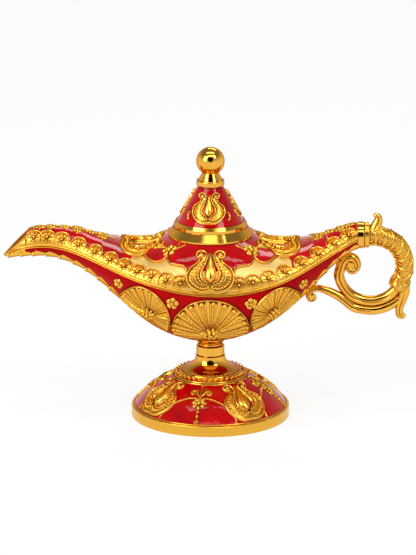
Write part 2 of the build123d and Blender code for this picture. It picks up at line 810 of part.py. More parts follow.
with BuildPart() as finial_ball:
    with BuildSketch(Plane.XZ):
        with BuildLine():
            Line((0, finial_z), (FINIAL_FOOT_R, finial_z))
            Line((FINIAL_FOOT_R, finial_z), (FINIAL_WAIST_R, ball_z - ball_rise))
            ThreePointArc((FINIAL_WAIST_R, ball_z - ball_rise), (BALL_R, ball_z), (0, ball_z + BALL_R))
            Line((0, ball_z + BALL_R), (0, finial_z))
        make_face()
    revolve(axis=Axis.Z)
    with BuildSketch(Plane.XY.offset(finial_z)):
        Circle(SCREW_R + JOINT_GAP)
    extrude(amount=SCREW_GRIP + SCREW_R, mode=Mode.SUBTRACT)

lid_washer_z = collar_z - CONE_WEB_T - LID_WASHER_T
screw_head_z = lid_washer_z - SCREW_HEAD_H

with BuildPart() as lid_screw:
    with BuildSketch(Plane.XY.offset(lid_washer_z)):
        Circle(SCREW_R)
    extrude(amount=screw_top_z - lid_washer_z)
    with BuildSketch(Plane.XY.offset(screw_head_z)):
        Circle(SCREW_HEAD_R)
    extrude(amount=SCREW_HEAD_H)
    with BuildSketch(Plane.XY.offset(screw_head_z)):
        Rectangle(3 * SCREW_HEAD_R, SCREW_SLOT)
    extrude(amount=SCREW_HEAD_H / 2, mode=Mode.SUBTRACT)

with BuildPart() as lid_washer:
    with BuildSketch(Plane.XY.offset(lid_washer_z)):
        Circle(LID_WASHER_R)
        Circle(SCREW_R + BOLT_PLAY, mode=Mode.SUBTRACT)
    extrude(amount=LID_WASHER_T)

# Handle
tail_z = tail_seam_z + (TAIL_CROWN - TAIL_KEEL) / 2
tail_half_height = (TAIL_CROWN + TAIL_KEEL) / 2
collar_ring_x = tail_x + FERRULE_L
grip_x = collar_ring_x + COLLAR_RING_L

with BuildPart() as tail_ferrule:
    with BuildSketch(station_plane(tail_x + JOINT_GAP)):
        with Locations((0, tail_z)):
            Ellipse(TAIL_HALF_WIDTH + FERRULE_PROUD, tail_half_height + FERRULE_PROUD)
            Circle(STUD_R + BOLT_PLAY, mode=Mode.SUBTRACT)
    extrude(amount=FERRULE_L - JOINT_GAP)
    fillet(tail_ferrule.faces().sort_by(Axis.X)[-1].outer_wire().edges(), FERRULE_ROUND)

with BuildPart() as handle_collar:
    with BuildSketch(station_plane(collar_ring_x)):
        with Locations((0, tail_z)):
            Circle(COLLAR_RING_R)
            Circle(STUD_R + BOLT_PLAY, mode=Mode.SUBTRACT)
    extrude(amount=COLLAR_RING_L)
    rims = handle_collar.edges().filter_by(GeomType.CIRCLE).sort_by(SortBy.RADIUS)[-2:]
    fillet(rims, COLLAR_RING_ROUND)

with BuildPart() as handle_stud:
    with BuildSketch(station_plane(tail_x - TAIL_NUT_H - ROD_TAIL)):
        with Locations((0, tail_z)):
            Circle(STUD_R)
    extrude(amount=ROD_TAIL + TAIL_NUT_H + FERRULE_L + COLLAR_RING_L + STUD_IN_GRIP)

with BuildPart() as tail_nut:
    with BuildSketch(station_plane(tail_x - TAIL_NUT_H + JOINT_GAP)):
        with Locations((0, tail_z)):
            RegularPolygon(TAIL_NUT_FLATS / 2, 6, major_radius=False)
            Circle(STUD_R + JOINT_GAP, mode=Mode.SUBTRACT)
    extrude(amount=TAIL_NUT_H)

# The handle is drawn about the middle of its finger hole
hole_x = grip_x + 0.2 * GRIP_R
hole_z = tail_z - HOLE_R - GRIP_R + 0.5
SECTIONS_PER_TUBE = 12
SECTIONS_PER_SCROLL = 26


def about_hole(radius, degrees):
    """A point of the handle's plane, as a radius and an angle about the middle of the finger hole."""
    return (hole_x + radius * cos(radians(degrees)), hole_z + radius * sin(radians(degrees)))


def round_sections(path, radii, count):
    """Circles square to a path, whose radius passes evenly through the radii given."""
    wire = path.wire()
    circles = []
    for i in range(count):
        along = i / (count - 1)
        place = along * (len(radii) - 1)
        step = min(int(place), len(radii) - 2)
        radius = radii[step] + (radii[step + 1] - radii[step]) * (place - step)
        with BuildSketch(Plane(origin=wire @ along, x_dir=(0, 1, 0), z_dir=wire % along)) as outline:
            Circle(radius)
        circles.append(outline.sketch)
    return circles


loop_middle_r = HOLE_R + LOOP_R
grip_end = about_hole(loop_middle_r, -40)
strap_middle_r = loop_middle_r + LOOP_R + STRAP_R + CONTACT_GAP

with BuildLine(Plane.XZ) as grip_path:
    over = TangentArc((grip_x, tail_z), about_hole(HOLE_R + 0.97 * GRIP_R, 50), tangent=(1, 0))
    back = TangentArc(over @ 1, about_hole(HOLE_R + 0.7 * GRIP_R, 4), tangent=over % 1)
    TangentArc(back @ 1, grip_end, tangent=back % 1)

with BuildLine(Plane.XZ) as thumb_leaf_path:
    leaf_root = about_hole(HOLE_R + 1.5 * GRIP_R, 84)
    Spline(
        leaf_root,
        (leaf_root[0] + 0.6, leaf_root[1] + 0.55 * THUMB_LEAF_H),
        (leaf_root[0] - 0.9, leaf_root[1] + THUMB_LEAF_H),
    )

with BuildLine(Plane.XZ) as spur_path:
    spur_root = about_hole(HOLE_R + 1.15 * GRIP_END_R, -29)
    Spline(
        spur_root,
        (spur_root[0] - 0.08 * SPUR_L, spur_root[1] - 0.5 * SPUR_L),
        (spur_root[0] - 0.06 * SPUR_L, spur_root[1] - SPUR_L),
    )

with BuildPart() as handle_grip:
    loft(round_sections(grip_path, [GRIP_R, GRIP_R, 0.88 * GRIP_R, GRIP_END_R], SECTIONS_PER_TUBE))
    loft(round_sections(thumb_leaf_path, [THUMB_LEAF_R, LEAF_TIP_R], 6))
    loft(round_sections(spur_path, [1.15 * SPUR_R, SPUR_R, 1.25 * SPUR_R], 6))
    with BuildSketch(station_plane(grip_x - GRIP_R)):
        with Locations((0, tail_z)):
            Circle(STUD_R + JOINT_GAP)
    extrude(amount=GRIP_R + STUD_IN_GRIP + STUD_R, mode=Mode.SUBTRACT)

scroll_start_x = hole_x - 0.98 * loop_middle_r
scroll_keel_z = point_at(keel, scroll_start_x + 0.5 * LOOP_SCROLL_R).Z
scroll_start = (scroll_start_x, scroll_keel_z - 0.95 * (LOOP_SCROLL_R + 1.4 * LOOP_R) - CONTACT_GAP)
with BuildLine(Plane.XZ) as loop_path:
    under = TangentArc(grip_end, about_hole(loop_middle_r, -90), tangent=grip_path.wire() % 1)
    rising = TangentArc(under @ 1, scroll_start, tangent=under % 1)
    outer_turn = TangentArc(
        rising @ 1, (scroll_start[0] + 2 * LOOP_SCROLL_R, scroll_start[1]), tangent=rising % 1
    )
    TangentArc(
        outer_turn @ 1, (scroll_start[0] + 1.07 * LOOP_SCROLL_R, scroll_start[1]), tangent=outer_turn % 1
    )

with BuildPart() as handle_loop:
    loop_radii = [LOOP_R, LOOP_R, LOOP_R, 1.3 * LOOP_R, 1.5 * LOOP_R, 1.05 * LOOP_R, LOOP_EYE_R]
    loft(round_sections(loop_path, loop_radii, SECTIONS_PER_SCROLL))
    add(handle_grip.part, mode=Mode.SUBTRACT)

notch = about_hole(strap_middle_r, -104)
with BuildLine(Plane.XZ) as strap_path:
    ThreePointArc(notch, about_hole(strap_middle_r, -78), about_hole(strap_middle_r, -50))

with BuildPart() as handle_strap:
    loft(round_sections(strap_path, [STRAP_R, STRAP_R, 0.85 * STRAP_R], 6))
    add(handle_grip.part, mode=Mode.SUBTRACT)
    add(handle_loop.part, mode=Mode.SUBTRACT)

scroll_x = hole_x - BRACKET_REACH
scroll_z = point_at(keel, scroll_x).Z - 1.45 * (BRACKET_SCROLL_R + BRACKET_R + CONTACT_GAP)
with BuildLine(Plane.XZ) as bracket_path:
    CenterArc((scroll_x, scroll_z - 0.4 * BRACKET_SCROLL_R), 0.6 * BRACKET_SCROLL_R, 90, -180)
    CenterArc((scroll_x, scroll_z), BRACKET_SCROLL_R, -90, -180)
    Spline(
        (scroll_x, scroll_z + BRACKET_SCROLL_R),
        about_hole(1.09 * strap_middle_r, -155),
        about_hole(0.97 * strap_middle_r, -132),
        notch,
        tangents=[(1, 0), strap_path.wire() % 0],
    )

with BuildPart() as handle_bracket:
    bracket_radii = [BRACKET_EYE_R, 0.7 * BRACKET_R, BRACKET_R, 0.9 * BRACKET_WEB_R, BRACKET_WEB_R, STRAP_R]
    loft(round_sections(bracket_path, bracket_radii, SECTIONS_PER_SCROLL))
    add(handle_loop.part, mode=Mode.SUBTRACT)

pieces = {
    "felt_pad": felt_pad,
    "base_plate": base_plate,
    "base_rim": base_rim,
    "base_dome": base_dome,
    "beaded_ring": beaded_ring,
    "stem_trumpet": stem_trumpet,
    "stem_ring": stem_ring,
    "bowl_cup": bowl_cup,
    "tie_rod": tie_rod,
    "rod_seal": rod_seal,
    "rod_top_nut": rod_top_nut,
    "rod_washer": rod_washer,
    "rod_bottom_nut": rod_bottom_nut,
    "hull_shell": hull_shell,
    "deck_shell": deck_shell,
    "seam_bead": seam_bead,
    "mouth_ring": mouth_ring,
    "front_palmette": front_palmette,
    "back_palmette": back_palmette,
    "spout_palmette": spout_palmette,
    "tail_palmette": tail_palmette,
    "near_spout_niches": near_spout_niches,
    "near_tail_niches": near_tail_niches,
    "far_spout_niches": far_spout_niches,
    "far_tail_niches": far_tail_niches,
    "filler_neck": filler_neck,
    "lid_sleeve": lid_sleeve,
    "lid_skirt": lid_skirt,
    "lid_band": lid_band,
    "lid_cone": lid_cone,
    "lid_screw": lid_screw,
    "lid_washer": lid_washer,
    "finial_collar": finial_collar,
    "finial_ball": finial_ball,
    "tail_ferrule": tail_ferrule,
    "tail_nut": tail_nut,
    "handle_stud": handle_stud,
    "handle_collar": handle_collar,
    "handle_grip": handle_grip,
    "handle_loop": handle_loop,
    "handle_strap": handle_strap,
    "handle_bracket": handle_bracket,
}

os.makedirs("parts", exist_ok=True)
for name, piece in pieces.items():
    piece.part.label = name
    export_step(piece.part, f"parts/{name}.step")
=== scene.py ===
import math

import bpy
import numpy as np
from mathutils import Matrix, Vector


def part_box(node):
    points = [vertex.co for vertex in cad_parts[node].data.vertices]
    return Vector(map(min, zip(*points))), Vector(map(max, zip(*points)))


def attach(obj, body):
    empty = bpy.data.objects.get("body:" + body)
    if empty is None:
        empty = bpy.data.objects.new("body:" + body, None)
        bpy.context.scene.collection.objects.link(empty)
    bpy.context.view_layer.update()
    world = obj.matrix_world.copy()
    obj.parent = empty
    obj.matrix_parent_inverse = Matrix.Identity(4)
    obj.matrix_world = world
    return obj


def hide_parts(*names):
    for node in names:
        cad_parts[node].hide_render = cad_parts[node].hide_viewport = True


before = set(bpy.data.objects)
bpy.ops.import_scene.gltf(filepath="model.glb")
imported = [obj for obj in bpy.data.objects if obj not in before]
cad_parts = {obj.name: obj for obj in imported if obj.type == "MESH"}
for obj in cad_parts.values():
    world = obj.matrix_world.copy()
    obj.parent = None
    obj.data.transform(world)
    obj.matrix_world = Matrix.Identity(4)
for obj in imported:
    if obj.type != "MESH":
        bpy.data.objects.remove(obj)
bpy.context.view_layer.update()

# Underside of the foot: a disc of pressed wool felt on a steel cover plate, with the tie rod's lower nut
# and washer above it. The rod draws foot, stem and bowl together, and a rubber ring seals it in the bowl.
# The felt is glued on, the steel is zinc plated, and none of it shows on a standing lamp.
FELT_DARK = "3A1418"
FELT_LIGHT = "5A262A"
FELT_TUFT = 0.0011
FELT_NAP = 0.0004
ZINC_DARK = "9CA1A4"
ZINC_LIGHT = "B8BCBE"
ZINC_SPANGLE = 0.004
RUBBER_BLACK = "17171A"
RUBBER_BLOOM = "26262A"
RUBBER_PATCH = 0.003


def linear(code):
    """An sRGB hex colour as the linear colour that a shader takes."""
    parts = [int(code[i:i + 2], 16) / 255 for i in (0, 2, 4)]
    return [p / 12.92 if p <= 0.04045 else ((p + 0.055) / 1.055) ** 2.4 for p in parts] + [1.0]


def add(tree, kind, settings=None, links=None):
    """One shader node with its settings and links; a socket goes by its name or its number."""
    node = tree.nodes.new(kind)
    for name, value in (settings or {}).items():
        if name == "stops":
            for element, (position, colour) in zip(node.color_ramp.elements, value):
                element.position = position
                element.color = linear(colour)
        elif isinstance(name, int) or name in node.inputs:
            node.inputs[name].default_value = value
        else:
            setattr(node, name, value)
    for name, source in (links or {}).items():
        tree.links.new(source, node.inputs[name])
    return node


def blank_material(name):
    """An empty material and its node tree."""
    material = bpy.data.materials.new(name)
    material.use_nodes = True
    material.node_tree.nodes.clear()
    return material, material.node_tree


def mottle(tree, size, detail, low, high, at=None):
    """Patches of a real size in metres, as a height and as two tones, each a ramp position and a colour."""
    if at is None:
        at = add(tree, "ShaderNodeTexCoord").outputs["Object"]
    patches = add(tree, "ShaderNodeTexNoise", {"Scale": 1 / size, "Detail": detail}, {"Vector": at})
    tones = add(tree, "ShaderNodeValToRGB", {"stops": (low, high)}, {"Fac": patches.outputs["Fac"]})
    return patches.outputs["Fac"], tones.outputs["Color"]


def dress(material, *nodes):
    """Gives CAD nodes a finished material and smooth shading."""
    for name in nodes:
        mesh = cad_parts[name].data
        mesh.materials.clear()
        mesh.materials.append(material)
        mesh.polygons.foreach_set("use_smooth", [True] * len(mesh.polygons))


# Felt looks dull and slightly hairy: two tones at the size of a tuft, drawn coarser than a fibre to show
felt, tree = blank_material("pressed wool felt")
tufts, wool = mottle(tree, FELT_TUFT, 6.0, (0.35, FELT_DARK), (0.65, FELT_LIGHT))
nap = add(tree, "ShaderNodeBump", {"Strength": 0.6, "Distance": FELT_NAP}, {"Height": tufts})
cloth = add(
    tree,
    "ShaderNodeBsdfPrincipled",
    {"Roughness": 0.95, "Sheen Weight": 0.4, "Sheen Roughness": 0.5},
    {"Base Color": wool, "Normal": nap.outputs["Normal"]},
)
add(tree, "ShaderNodeOutputMaterial", links={"Surface": cloth.outputs["BSDF"]})

# Zinc plate is a soft grey metal with faint crystal patches
zinc, tree = blank_material("zinc plated steel")
place = add(tree, "ShaderNodeTexCoord")
spangle = add(
    tree, "ShaderNodeTexVoronoi", {"Scale": 1 / ZINC_SPANGLE}, {"Vector": place.outputs["Object"]}
)
grey = add(
    tree,
    "ShaderNodeValToRGB",
    {"stops": [(0.2, ZINC_DARK), (0.8, ZINC_LIGHT)]},
    {"Fac": spangle.outputs["Color"]},
)
plate = add(
    tree,
    "ShaderNodeBsdfPrincipled",
    {"Metallic": 1.0, "Roughness": 0.36},
    {"Base Color": grey.outputs["Color"]},
)
add(tree, "ShaderNodeOutputMaterial", links={"Surface": plate.outputs["BSDF"]})

# Moulded rubber is nearly black and matt, with a slight bloom
rubber, tree = blank_material("moulded nitrile rubber")
black = mottle(tree, RUBBER_PATCH, 2.0, (0.35, RUBBER_BLACK), (0.65, RUBBER_BLOOM))[1]
ring = add(tree, "ShaderNodeBsdfPrincipled", {"Roughness": 0.7}, {"Base Color": black})
add(tree, "ShaderNodeOutputMaterial", links={"Surface": ring.outputs["BSDF"]})

dress(felt, "felt_pad")
dress(zinc, "base_plate", "tie_rod", "rod_top_nut", "rod_washer", "rod_bottom_nut")
dress(rubber, "rod_seal")

# Foot: a spun rim with a satin side carries a domed casting, coated with red enamel up to the beaded ring.
# Four cast palmettes and four flower drops joined by rope garlands stand on the dome, gilt all over. The
# enamel is poured over the casting and fired, so it is thick, glassy and rounded where it meets the gilt.
DOME_FOOT_R = 40.4
DOME_TOP_R = 19.5
DOME_FOOT_Z = 5.5
DOME_TOP_Z = 21.6
DOME_BULGE = 1.4
FOOT_PALMETTE_ANGLES = (-56, 34, 124, 214)
FOOT_DROP_ANGLES = (-11, 79, 169, 259)
FOOT_PALMETTE_W = 23.6
FOOT_PALMETTE_H = 24.4
FOOT_PALMETTE_UP = 1.2
FOOT_RELIEF = 0.6
FOOT_PAD = 0.3
GOLD_POLISHED = "F1B541"
GOLD_POLISHED_DEEP = "E9A935"
GOLD_CAST = "F5C052"
GOLD_CAST_DEEP = "E8AC3E"
# Dark brown painted into the gilt's crevices as shade
GOLD_PAINTED_SHADE = "4A1C00"
GOLD_EDGE = "B87A30"
GOLD_SATIN = "EDB646"
GOLD_SATIN_DEEP = "E2A636"
POLISH_CLOUD = 0.016
CAST_PIT = 0.0006
TURNING_MARK = 0.0004
MARK_DEPTH = 0.0002
ENAMEL_RED = "BE0009"
ENAMEL_DEEP = "960005"
# Dark red painted into the enamel's corners as shade
ENAMEL_PAINTED_SHADE = "5E0004"
ENAMEL_CLOUD = 0.011
ENAMEL_RIPPLE = 0.005
ENAMEL_RIPPLE_DEPTH = 0.0005
# How far painted shade reaches out of a corner
CREVICE_REACH = 0.0008


def with_painted_shade(tree, tone, dark, reach, closed, clear):
    """Painted shade: a tone that turns to a dark one in corners within reach, between two shares of open
    sky.
    """
    sky = add(tree, "ShaderNodeAmbientOcclusion", {"samples": 8, "Distance": reach})
    share = add(
        tree, "ShaderNodeMapRange", {"From Min": closed, "From Max": clear}, {"Value": sky.outputs["AO"]}
    )
    both = add(
        tree,
        "ShaderNodeMixRGB",
        {"Color1": linear(dark)},
        {"Fac": share.outputs["Result"], "Color2": tone},
    )
    return both.outputs["Color"]


# Lacquered gold plate is a warm mirror with whiter lights from the lacquer; buffing leaves faint clouds in
# it. Painted shade turns its crevices dark brown
polished_gold, tree = blank_material("buffed and lacquered gold plate")
clouds, warm = mottle(tree, POLISH_CLOUD, 3.0, (0.35, GOLD_POLISHED_DEEP), (0.65, GOLD_POLISHED))
gloss = add(
    tree,
    "ShaderNodeMapRange",
    {"From Min": 0.3, "From Max": 0.7, "To Min": 0.06, "To Max": 0.11},
    {"Value": clouds},
)
mirror_tone = with_painted_shade(tree, warm, GOLD_PAINTED_SHADE, CREVICE_REACH, 0.25, 0.6)
mirror = add(
    tree,
    "ShaderNodeBsdfPrincipled",
    {"Metallic": 1.0, "Specular Tint": linear(GOLD_EDGE), "Coat Weight": 0.4, "Coat Roughness": 0.04},
    {"Base Color": mirror_tone, "Roughness": gloss.outputs["Result"]},
)
add(tree, "ShaderNodeOutputMaterial", links={"Surface": mirror.outputs["BSDF"]})

# The same plate left as cast and tumbled glitters instead of mirroring; painted shade turns its crevices
# brown
cast_gold, tree = blank_material("tumbled cast gold plate")
pits, bright = mottle(tree, CAST_PIT, 2.0, (0.35, GOLD_CAST_DEEP), (0.65, GOLD_CAST))
cast_tone = with_painted_shade(tree, bright, GOLD_PAINTED_SHADE, CREVICE_REACH, 0.22, 0.62)
pitted = add(tree, "ShaderNodeBump", {"Strength": 0.15, "Distance": MARK_DEPTH}, {"Height": pits})
cast_skin = add(
    tree,
    "ShaderNodeBsdfPrincipled",
    {"Metallic": 1.0, "Roughness": 0.28, "Specular Tint": linear(GOLD_EDGE)},
    {"Base Color": cast_tone, "Normal": pitted.outputs["Normal"]},
)
add(tree, "ShaderNodeOutputMaterial", links={"Surface": cast_skin.outputs["BSDF"]})

# Satin gold, on the rim's side and on the wires of the seam, comes from fine level marks of turning and
# brushing, drawn 0.4 mm apart to show
satin_gold, tree = blank_material("satin turned gold plate")
place = add(tree, "ShaderNodeTexCoord")
apart = add(tree, "ShaderNodeSeparateXYZ", links={"Vector": place.outputs["Object"]})
level = add(tree, "ShaderNodeCombineXYZ", links={"Z": apart.outputs["Z"]})
marks, satin_tone = mottle(
    tree, TURNING_MARK, 2.0, (0.35, GOLD_SATIN_DEEP), (0.65, GOLD_SATIN), level.outputs["Vector"]
)
grooves = add(tree, "ShaderNodeBump", {"Strength": 0.06, "Distance": MARK_DEPTH}, {"Height": marks})
satin = add(
    tree,
    "ShaderNodeBsdfPrincipled",
    {"Metallic": 1.0, "Roughness": 0.3},
    {"Base Color": satin_tone, "Normal": grooves.outputs["Normal"]},
)
add(tree, "ShaderNodeOutputMaterial", links={"Surface": satin.outputs["BSDF"]})

# Fired enamel is a deep glassy red with a slow ripple in its gloss; painted shade darkens it next to the
# gilt
red_enamel, tree = blank_material("fired red enamel")
red = mottle(tree, ENAMEL_CLOUD, 3.0, (0.3, ENAMEL_DEEP), (0.7, ENAMEL_RED))[1]
red_tone = with_painted_shade(tree, red, ENAMEL_PAINTED_SHADE, CREVICE_REACH, 0.45, 0.9)
place = add(tree, "ShaderNodeTexCoord")
wave = add(
    tree,
    "ShaderNodeTexNoise",
    {"Scale": 1 / ENAMEL_RIPPLE, "Detail": 1.0},
    {"Vector": place.outputs["Object"]},
)
ripple = add(
    tree,
    "ShaderNodeBump",
    {"Strength": 0.3, "Distance": ENAMEL_RIPPLE_DEPTH},
    {"Height": wave.outputs["Fac"]},
)
glass = add(
    tree,
    "ShaderNodeBsdfPrincipled",
    {"Roughness": 0.07, "IOR": 1.45, "Specular IOR Level": 0.35},
    {"Base Color": red_tone, "Normal": ripple.outputs["Normal"]},
)
add(tree, "ShaderNodeOutputMaterial", links={"Surface": glass.outputs["BSDF"]})

dress(satin_gold, "base_rim")
dress(red_enamel, "base_dome")


def round_sheet(profile, angle):
    """Lays flat work on a turned surface: a runs round it from the angle, b up its side and h out of it."""
    def lay(a, b, h):
        radius, height, out, up = profile(b)
        turn = math.radians(angle) + a / radius
        reach = radius + h * out
        return np.stack([reach * np.sin(turn), -reach * np.cos(turn), height + h * up], axis=-1)
    return lay


# The dome's side is one arc through its foot, a middle pushed out by the bulge, and its top
side_run = np.array([DOME_TOP_R - DOME_FOOT_R, DOME_TOP_Z - DOME_FOOT_Z])
side_length = np.hypot(*side_run)
side_out = np.array([side_run[1], -side_run[0]]) / side_length
arc_radius = (side_length ** 2 / 4 + DOME_BULGE ** 2) / (2 * DOME_BULGE)
arc_middle = np.array([DOME_FOOT_R, DOME_FOOT_Z]) + side_run / 2 - side_out * (arc_radius - DOME_BULGE)
half_arc = math.asin(side_length / 2 / arc_radius)
DOME_L = 2 * half_arc * arc_radius


def dome_profile(b):
    """Radius, height and outward direction at b along the dome's side, from its foot."""
    lean = math.atan2(side_out[1], side_out[0]) + np.asarray(b, float) / arc_radius - half_arc
    out, up = np.cos(lean), np.sin(lean)
    return arc_middle[0] + arc_radius * out, arc_middle[1] + arc_radius * up, out, up


def fair(points, count):
    """A smooth line through the points given, as evenly many points along each span."""
    keys = np.array(points, float)
    keys = np.vstack([2 * keys[0] - keys[1], keys, 2 * keys[-1] - keys[-2]])
    along = np.linspace(0, len(points) - 1, count)
    span = np.minimum(along.astype(int), len(points) - 2)
    f = (along - span)[:, None]
    p, q, r, s = keys[span], keys[span + 1], keys[span + 2], keys[span + 3]
    bent = 2 * q + (r - p) * f + (2 * p - 5 * q + 4 * r - s) * f ** 2
    return 0.5 * (bent + (3 * q - p - 3 * r + s) * f ** 3)


def spread(values, count):
    """The values given, spaced evenly over count places."""
    return np.interp(np.linspace(0, 1, count), np.linspace(0, 1, len(values)), values)


def grid_faces(rows, columns, closed=False):
    """Four-sided faces of a net of points, its columns joined round into a tube if closed."""
    wide = columns if closed else columns - 1
    return [
        (i * columns + j, i * columns + (j + 1) % columns,
         (i + 1) * columns + (j + 1) % columns, (i + 1) * columns + j)
        for i in range(rows - 1)
        for j in range(wide)
    ]


# Heights across a strip from edge to edge: a round wire, a flat bar, a keeled leaf, a leaf with a midrib
# and a scooped petal. The edges go below the surface, however far the strip is lifted.
ROUND = (-0.2, 0.55, 0.87, 1.0, 0.87, 0.55, -0.2)
FLAT = (-0.2, 0.86, 0.96, 1.0, 0.96, 0.86, -0.2)
KEELED = (-0.2, 0.42, 0.66, 0.84, 1.0, 0.84, 0.66, 0.42, -0.2)
LEAF = (-0.2, 0.5, 0.74, 0.62, 1.0, 0.62, 0.74, 0.5, -0.2)
SCOOP = (-0.2, 0.7, 1.0, 0.72, 0.5, 0.72, 1.0, 0.7, -0.2)
PLATE_SUNK = -0.15
BEAD_SUNK = 0.25


def strip(points, normals, widths, heights, section=ROUND, lift=0.0):
    """A raised strip along a line of points on a surface, as wide and high as given at each."""
    count = len(points)
    widths = spread(np.atleast_1d(widths), count)[:, None, None]
    heights = spread(np.atleast_1d(heights), count)[:, None, None]
    run = np.gradient(points, axis=0)
    across = np.cross(normals, run)
    across /= np.maximum(np.linalg.norm(across, axis=1), 1e-9)[:, None]
    columns = len(section)
    shares = np.linspace(-1, 1, columns)[None, :, None]
    section = np.array(section)[None, :, None]
    rise = heights * section + np.where(section < 0, 0.0, lift)
    net = points[:, None] + across[:, None] * shares * widths / 2 + normals[:, None] * rise
    return net.reshape(-1, 3), grid_faces(count, columns)


def ribbon(lay, path, widths, heights, section=ROUND, lift=0.0):
    """A strip along a flat path that is laid on a sheet."""
    path = np.asarray(path, float)
    foot = lay(path[:, 0], path[:, 1], np.zeros(len(path)))
    tip = lay(path[:, 0], path[:, 1], np.ones(len(path)))
    return strip(foot, tip - foot, widths, heights, section, lift)


def web(lay, first, second, lift, rows=5):
    """A plate between two flat lines, sunk into the surface along both."""
    first, second = np.asarray(first, float), np.asarray(second, float)
    shares = np.linspace(0, 1, rows)[:, None, None]
    flat = first[None] * (1 - shares) + second[None] * shares
    rise = np.full(flat.shape[:2], float(lift))
    rise[0] = rise[-1] = PLATE_SUNK
    net = lay(flat[..., 0], flat[..., 1], rise)
    return net.reshape(-1, 3), grid_faces(rows, len(first))


def beads(lay, places, radius, rise=1.0, lift=0.0):
    """Half-round beads at flat places on a sheet, each with its foot sunk into it."""
    rows, around = 4, 10
    turn = np.linspace(0, 2 * math.pi, around, endpoint=False)
    points, faces = [], []
    for a, b in places:
        start = len(points) * (rows * around + 1)
        rings = []
        for row in range(rows):
            lean = math.radians(row * 90 / rows)
            reach = radius * math.cos(lean)
            level = lift + radius * rise * math.sin(lean) if row else -BEAD_SUNK * radius
            rings.append(lay(a + reach * np.cos(turn), b + reach * np.sin(turn), np.full(around, level)))
        top = lay(np.array([a]), np.array([b]), np.array([lift + radius * rise]))
        points.append(np.vstack(rings + [top]))
        faces += [tuple(start + k for k in face) for face in grid_faces(rows, around, True)]
        crown = start + rows * around
        last = start + (rows - 1) * around
        faces += [(last + j, last + (j + 1) % around, crown) for j in range(around)]
    return np.vstack(points), faces


def moved(lay, a0, b0):
    """The same sheet with its own middle at (a0, b0)."""
    return lambda a, b, h: lay(a0 + np.asarray(a, float), b0 + np.asarray(b, float), h)


# A petal's widths and heights from the middle outwards, as shares of its full ones
PETAL_WIDTHS = np.array([0.2, 0.5, 0.8, 1.0, 1.0, 0.75, 0.2])
PETAL_HEIGHTS = np.array([0.5, 0.75, 0.95, 1.0, 0.8, 0.25])
SEED_SHARE = 0.26


def flower(lay, radius, petals, rise=0.9, start=0.0, lift=0.0, fullness=4.0, section=SCOOP):
    """A flower of round petals about a seed bead, on a sheet whose middle is the flower's."""
    parts = []
    broad = fullness * radius / petals
    reach = np.linspace(0.2, 1.0, 9)[:, None] * radius
    for i in range(petals):
        turn = math.radians(start + 360 * i / petals)
        path = reach * np.array([[math.cos(turn), math.sin(turn)]])
        parts.append(ribbon(lay, path, broad * PETAL_WIDTHS, rise * PETAL_HEIGHTS, section, lift))
    parts.append(beads(lay, [(0, 0)], SEED_SHARE * radius, 1.0, lift + 0.5 * rise))
    return parts


# A palmette is two paisley lobes that curl over at the top, with a teardrop between them. Its lines are
# drawn on a square one unit wide and high, for the right half, and mirrored for the left.
PALMETTE_RIM = [
    (0.0, 0.065), (0.1, 0.045), (0.2, 0.045), (0.3, 0.085), (0.395, 0.165), (0.46, 0.27),
    (0.477, 0.385), (0.455, 0.49), (0.39, 0.59), (0.3, 0.655), (0.24, 0.71), (0.215, 0.77),
]
PALMETTE_CURL = [
    (0.11, 0.62), (0.09, 0.73), (0.08, 0.83), (0.1, 0.92), (0.165, 0.968), (0.24, 0.955),
    (0.283, 0.895), (0.267, 0.825), (0.21, 0.8), (0.165, 0.835), (0.17, 0.89), (0.215, 0.895),
]
PALMETTE_INNER_LEAF = [
    (0.02, 0.262), (0.09, 0.275), (0.155, 0.32), (0.195, 0.41), (0.187, 0.5), (0.15, 0.59),
    (0.105, 0.68), (0.065, 0.78), (0.035, 0.88),
]
PALMETTE_MIDDLE = [
    (0.01, 0.222), (0.097, 0.198), (0.207, 0.22), (0.285, 0.295), (0.315, 0.4), (0.295, 0.5),
    (0.245, 0.585), (0.185, 0.67), (0.145, 0.74),
]
PALMETTE_OUTER_BEADS = [
    (0.04, 0.17), (0.097, 0.135), (0.152, 0.122), (0.207, 0.134), (0.262, 0.163), (0.317, 0.205),
    (0.37, 0.268), (0.398, 0.333), (0.4, 0.4), (0.378, 0.476), (0.325, 0.562), (0.25, 0.628),
]
PALMETTE_INNER_BEADS = [
    (0.075, 0.238), (0.15, 0.26), (0.218, 0.318), (0.255, 0.4), (0.245, 0.485), (0.205, 0.57),
    (0.155, 0.655), (0.125, 0.72),
]
PALMETTE_EYE = (0.205, 0.868)
RIM_WIDTHS = (0.12, 0.1, 0.092, 0.085, 0.07, 0.055, 0.048, 0.045, 0.045, 0.042, 0.04, 0.035)
CURL_WIDTHS = (0.03, 0.05, 0.06, 0.06, 0.055, 0.035)
WIRE_WIDTHS = (0.03, 0.035, 0.02)
LEAF_WIDTHS = (0.02, 0.045, 0.06, 0.06, 0.055, 0.045, 0.035, 0.02)
# Each raised line with its number of points, its widths and its share of the relief
PALMETTE_LINES = (
    (PALMETTE_RIM, 45, RIM_WIDTHS, 1.05),
    (PALMETTE_CURL, 50, CURL_WIDTHS, 1.15),
    (PALMETTE_MIDDLE, 40, WIRE_WIDTHS, 0.5),
    (PALMETTE_INNER_LEAF, 45, LEAF_WIDTHS, 1.3),
)
TEARDROP_FOOT = 0.268
TEARDROP_L = 0.662
TEARDROP_WIDTHS = np.array([0.03, 0.19, 0.25, 0.26, 0.24, 0.205, 0.16, 0.12, 0.08, 0.05, 0.015])
TEARDROP_HEIGHTS = np.array([0.4, 1.3, 1.65, 1.7, 1.6, 1.45, 1.25, 1.05, 0.85, 0.65, 0.4])
MM_PER_METRE = 1000


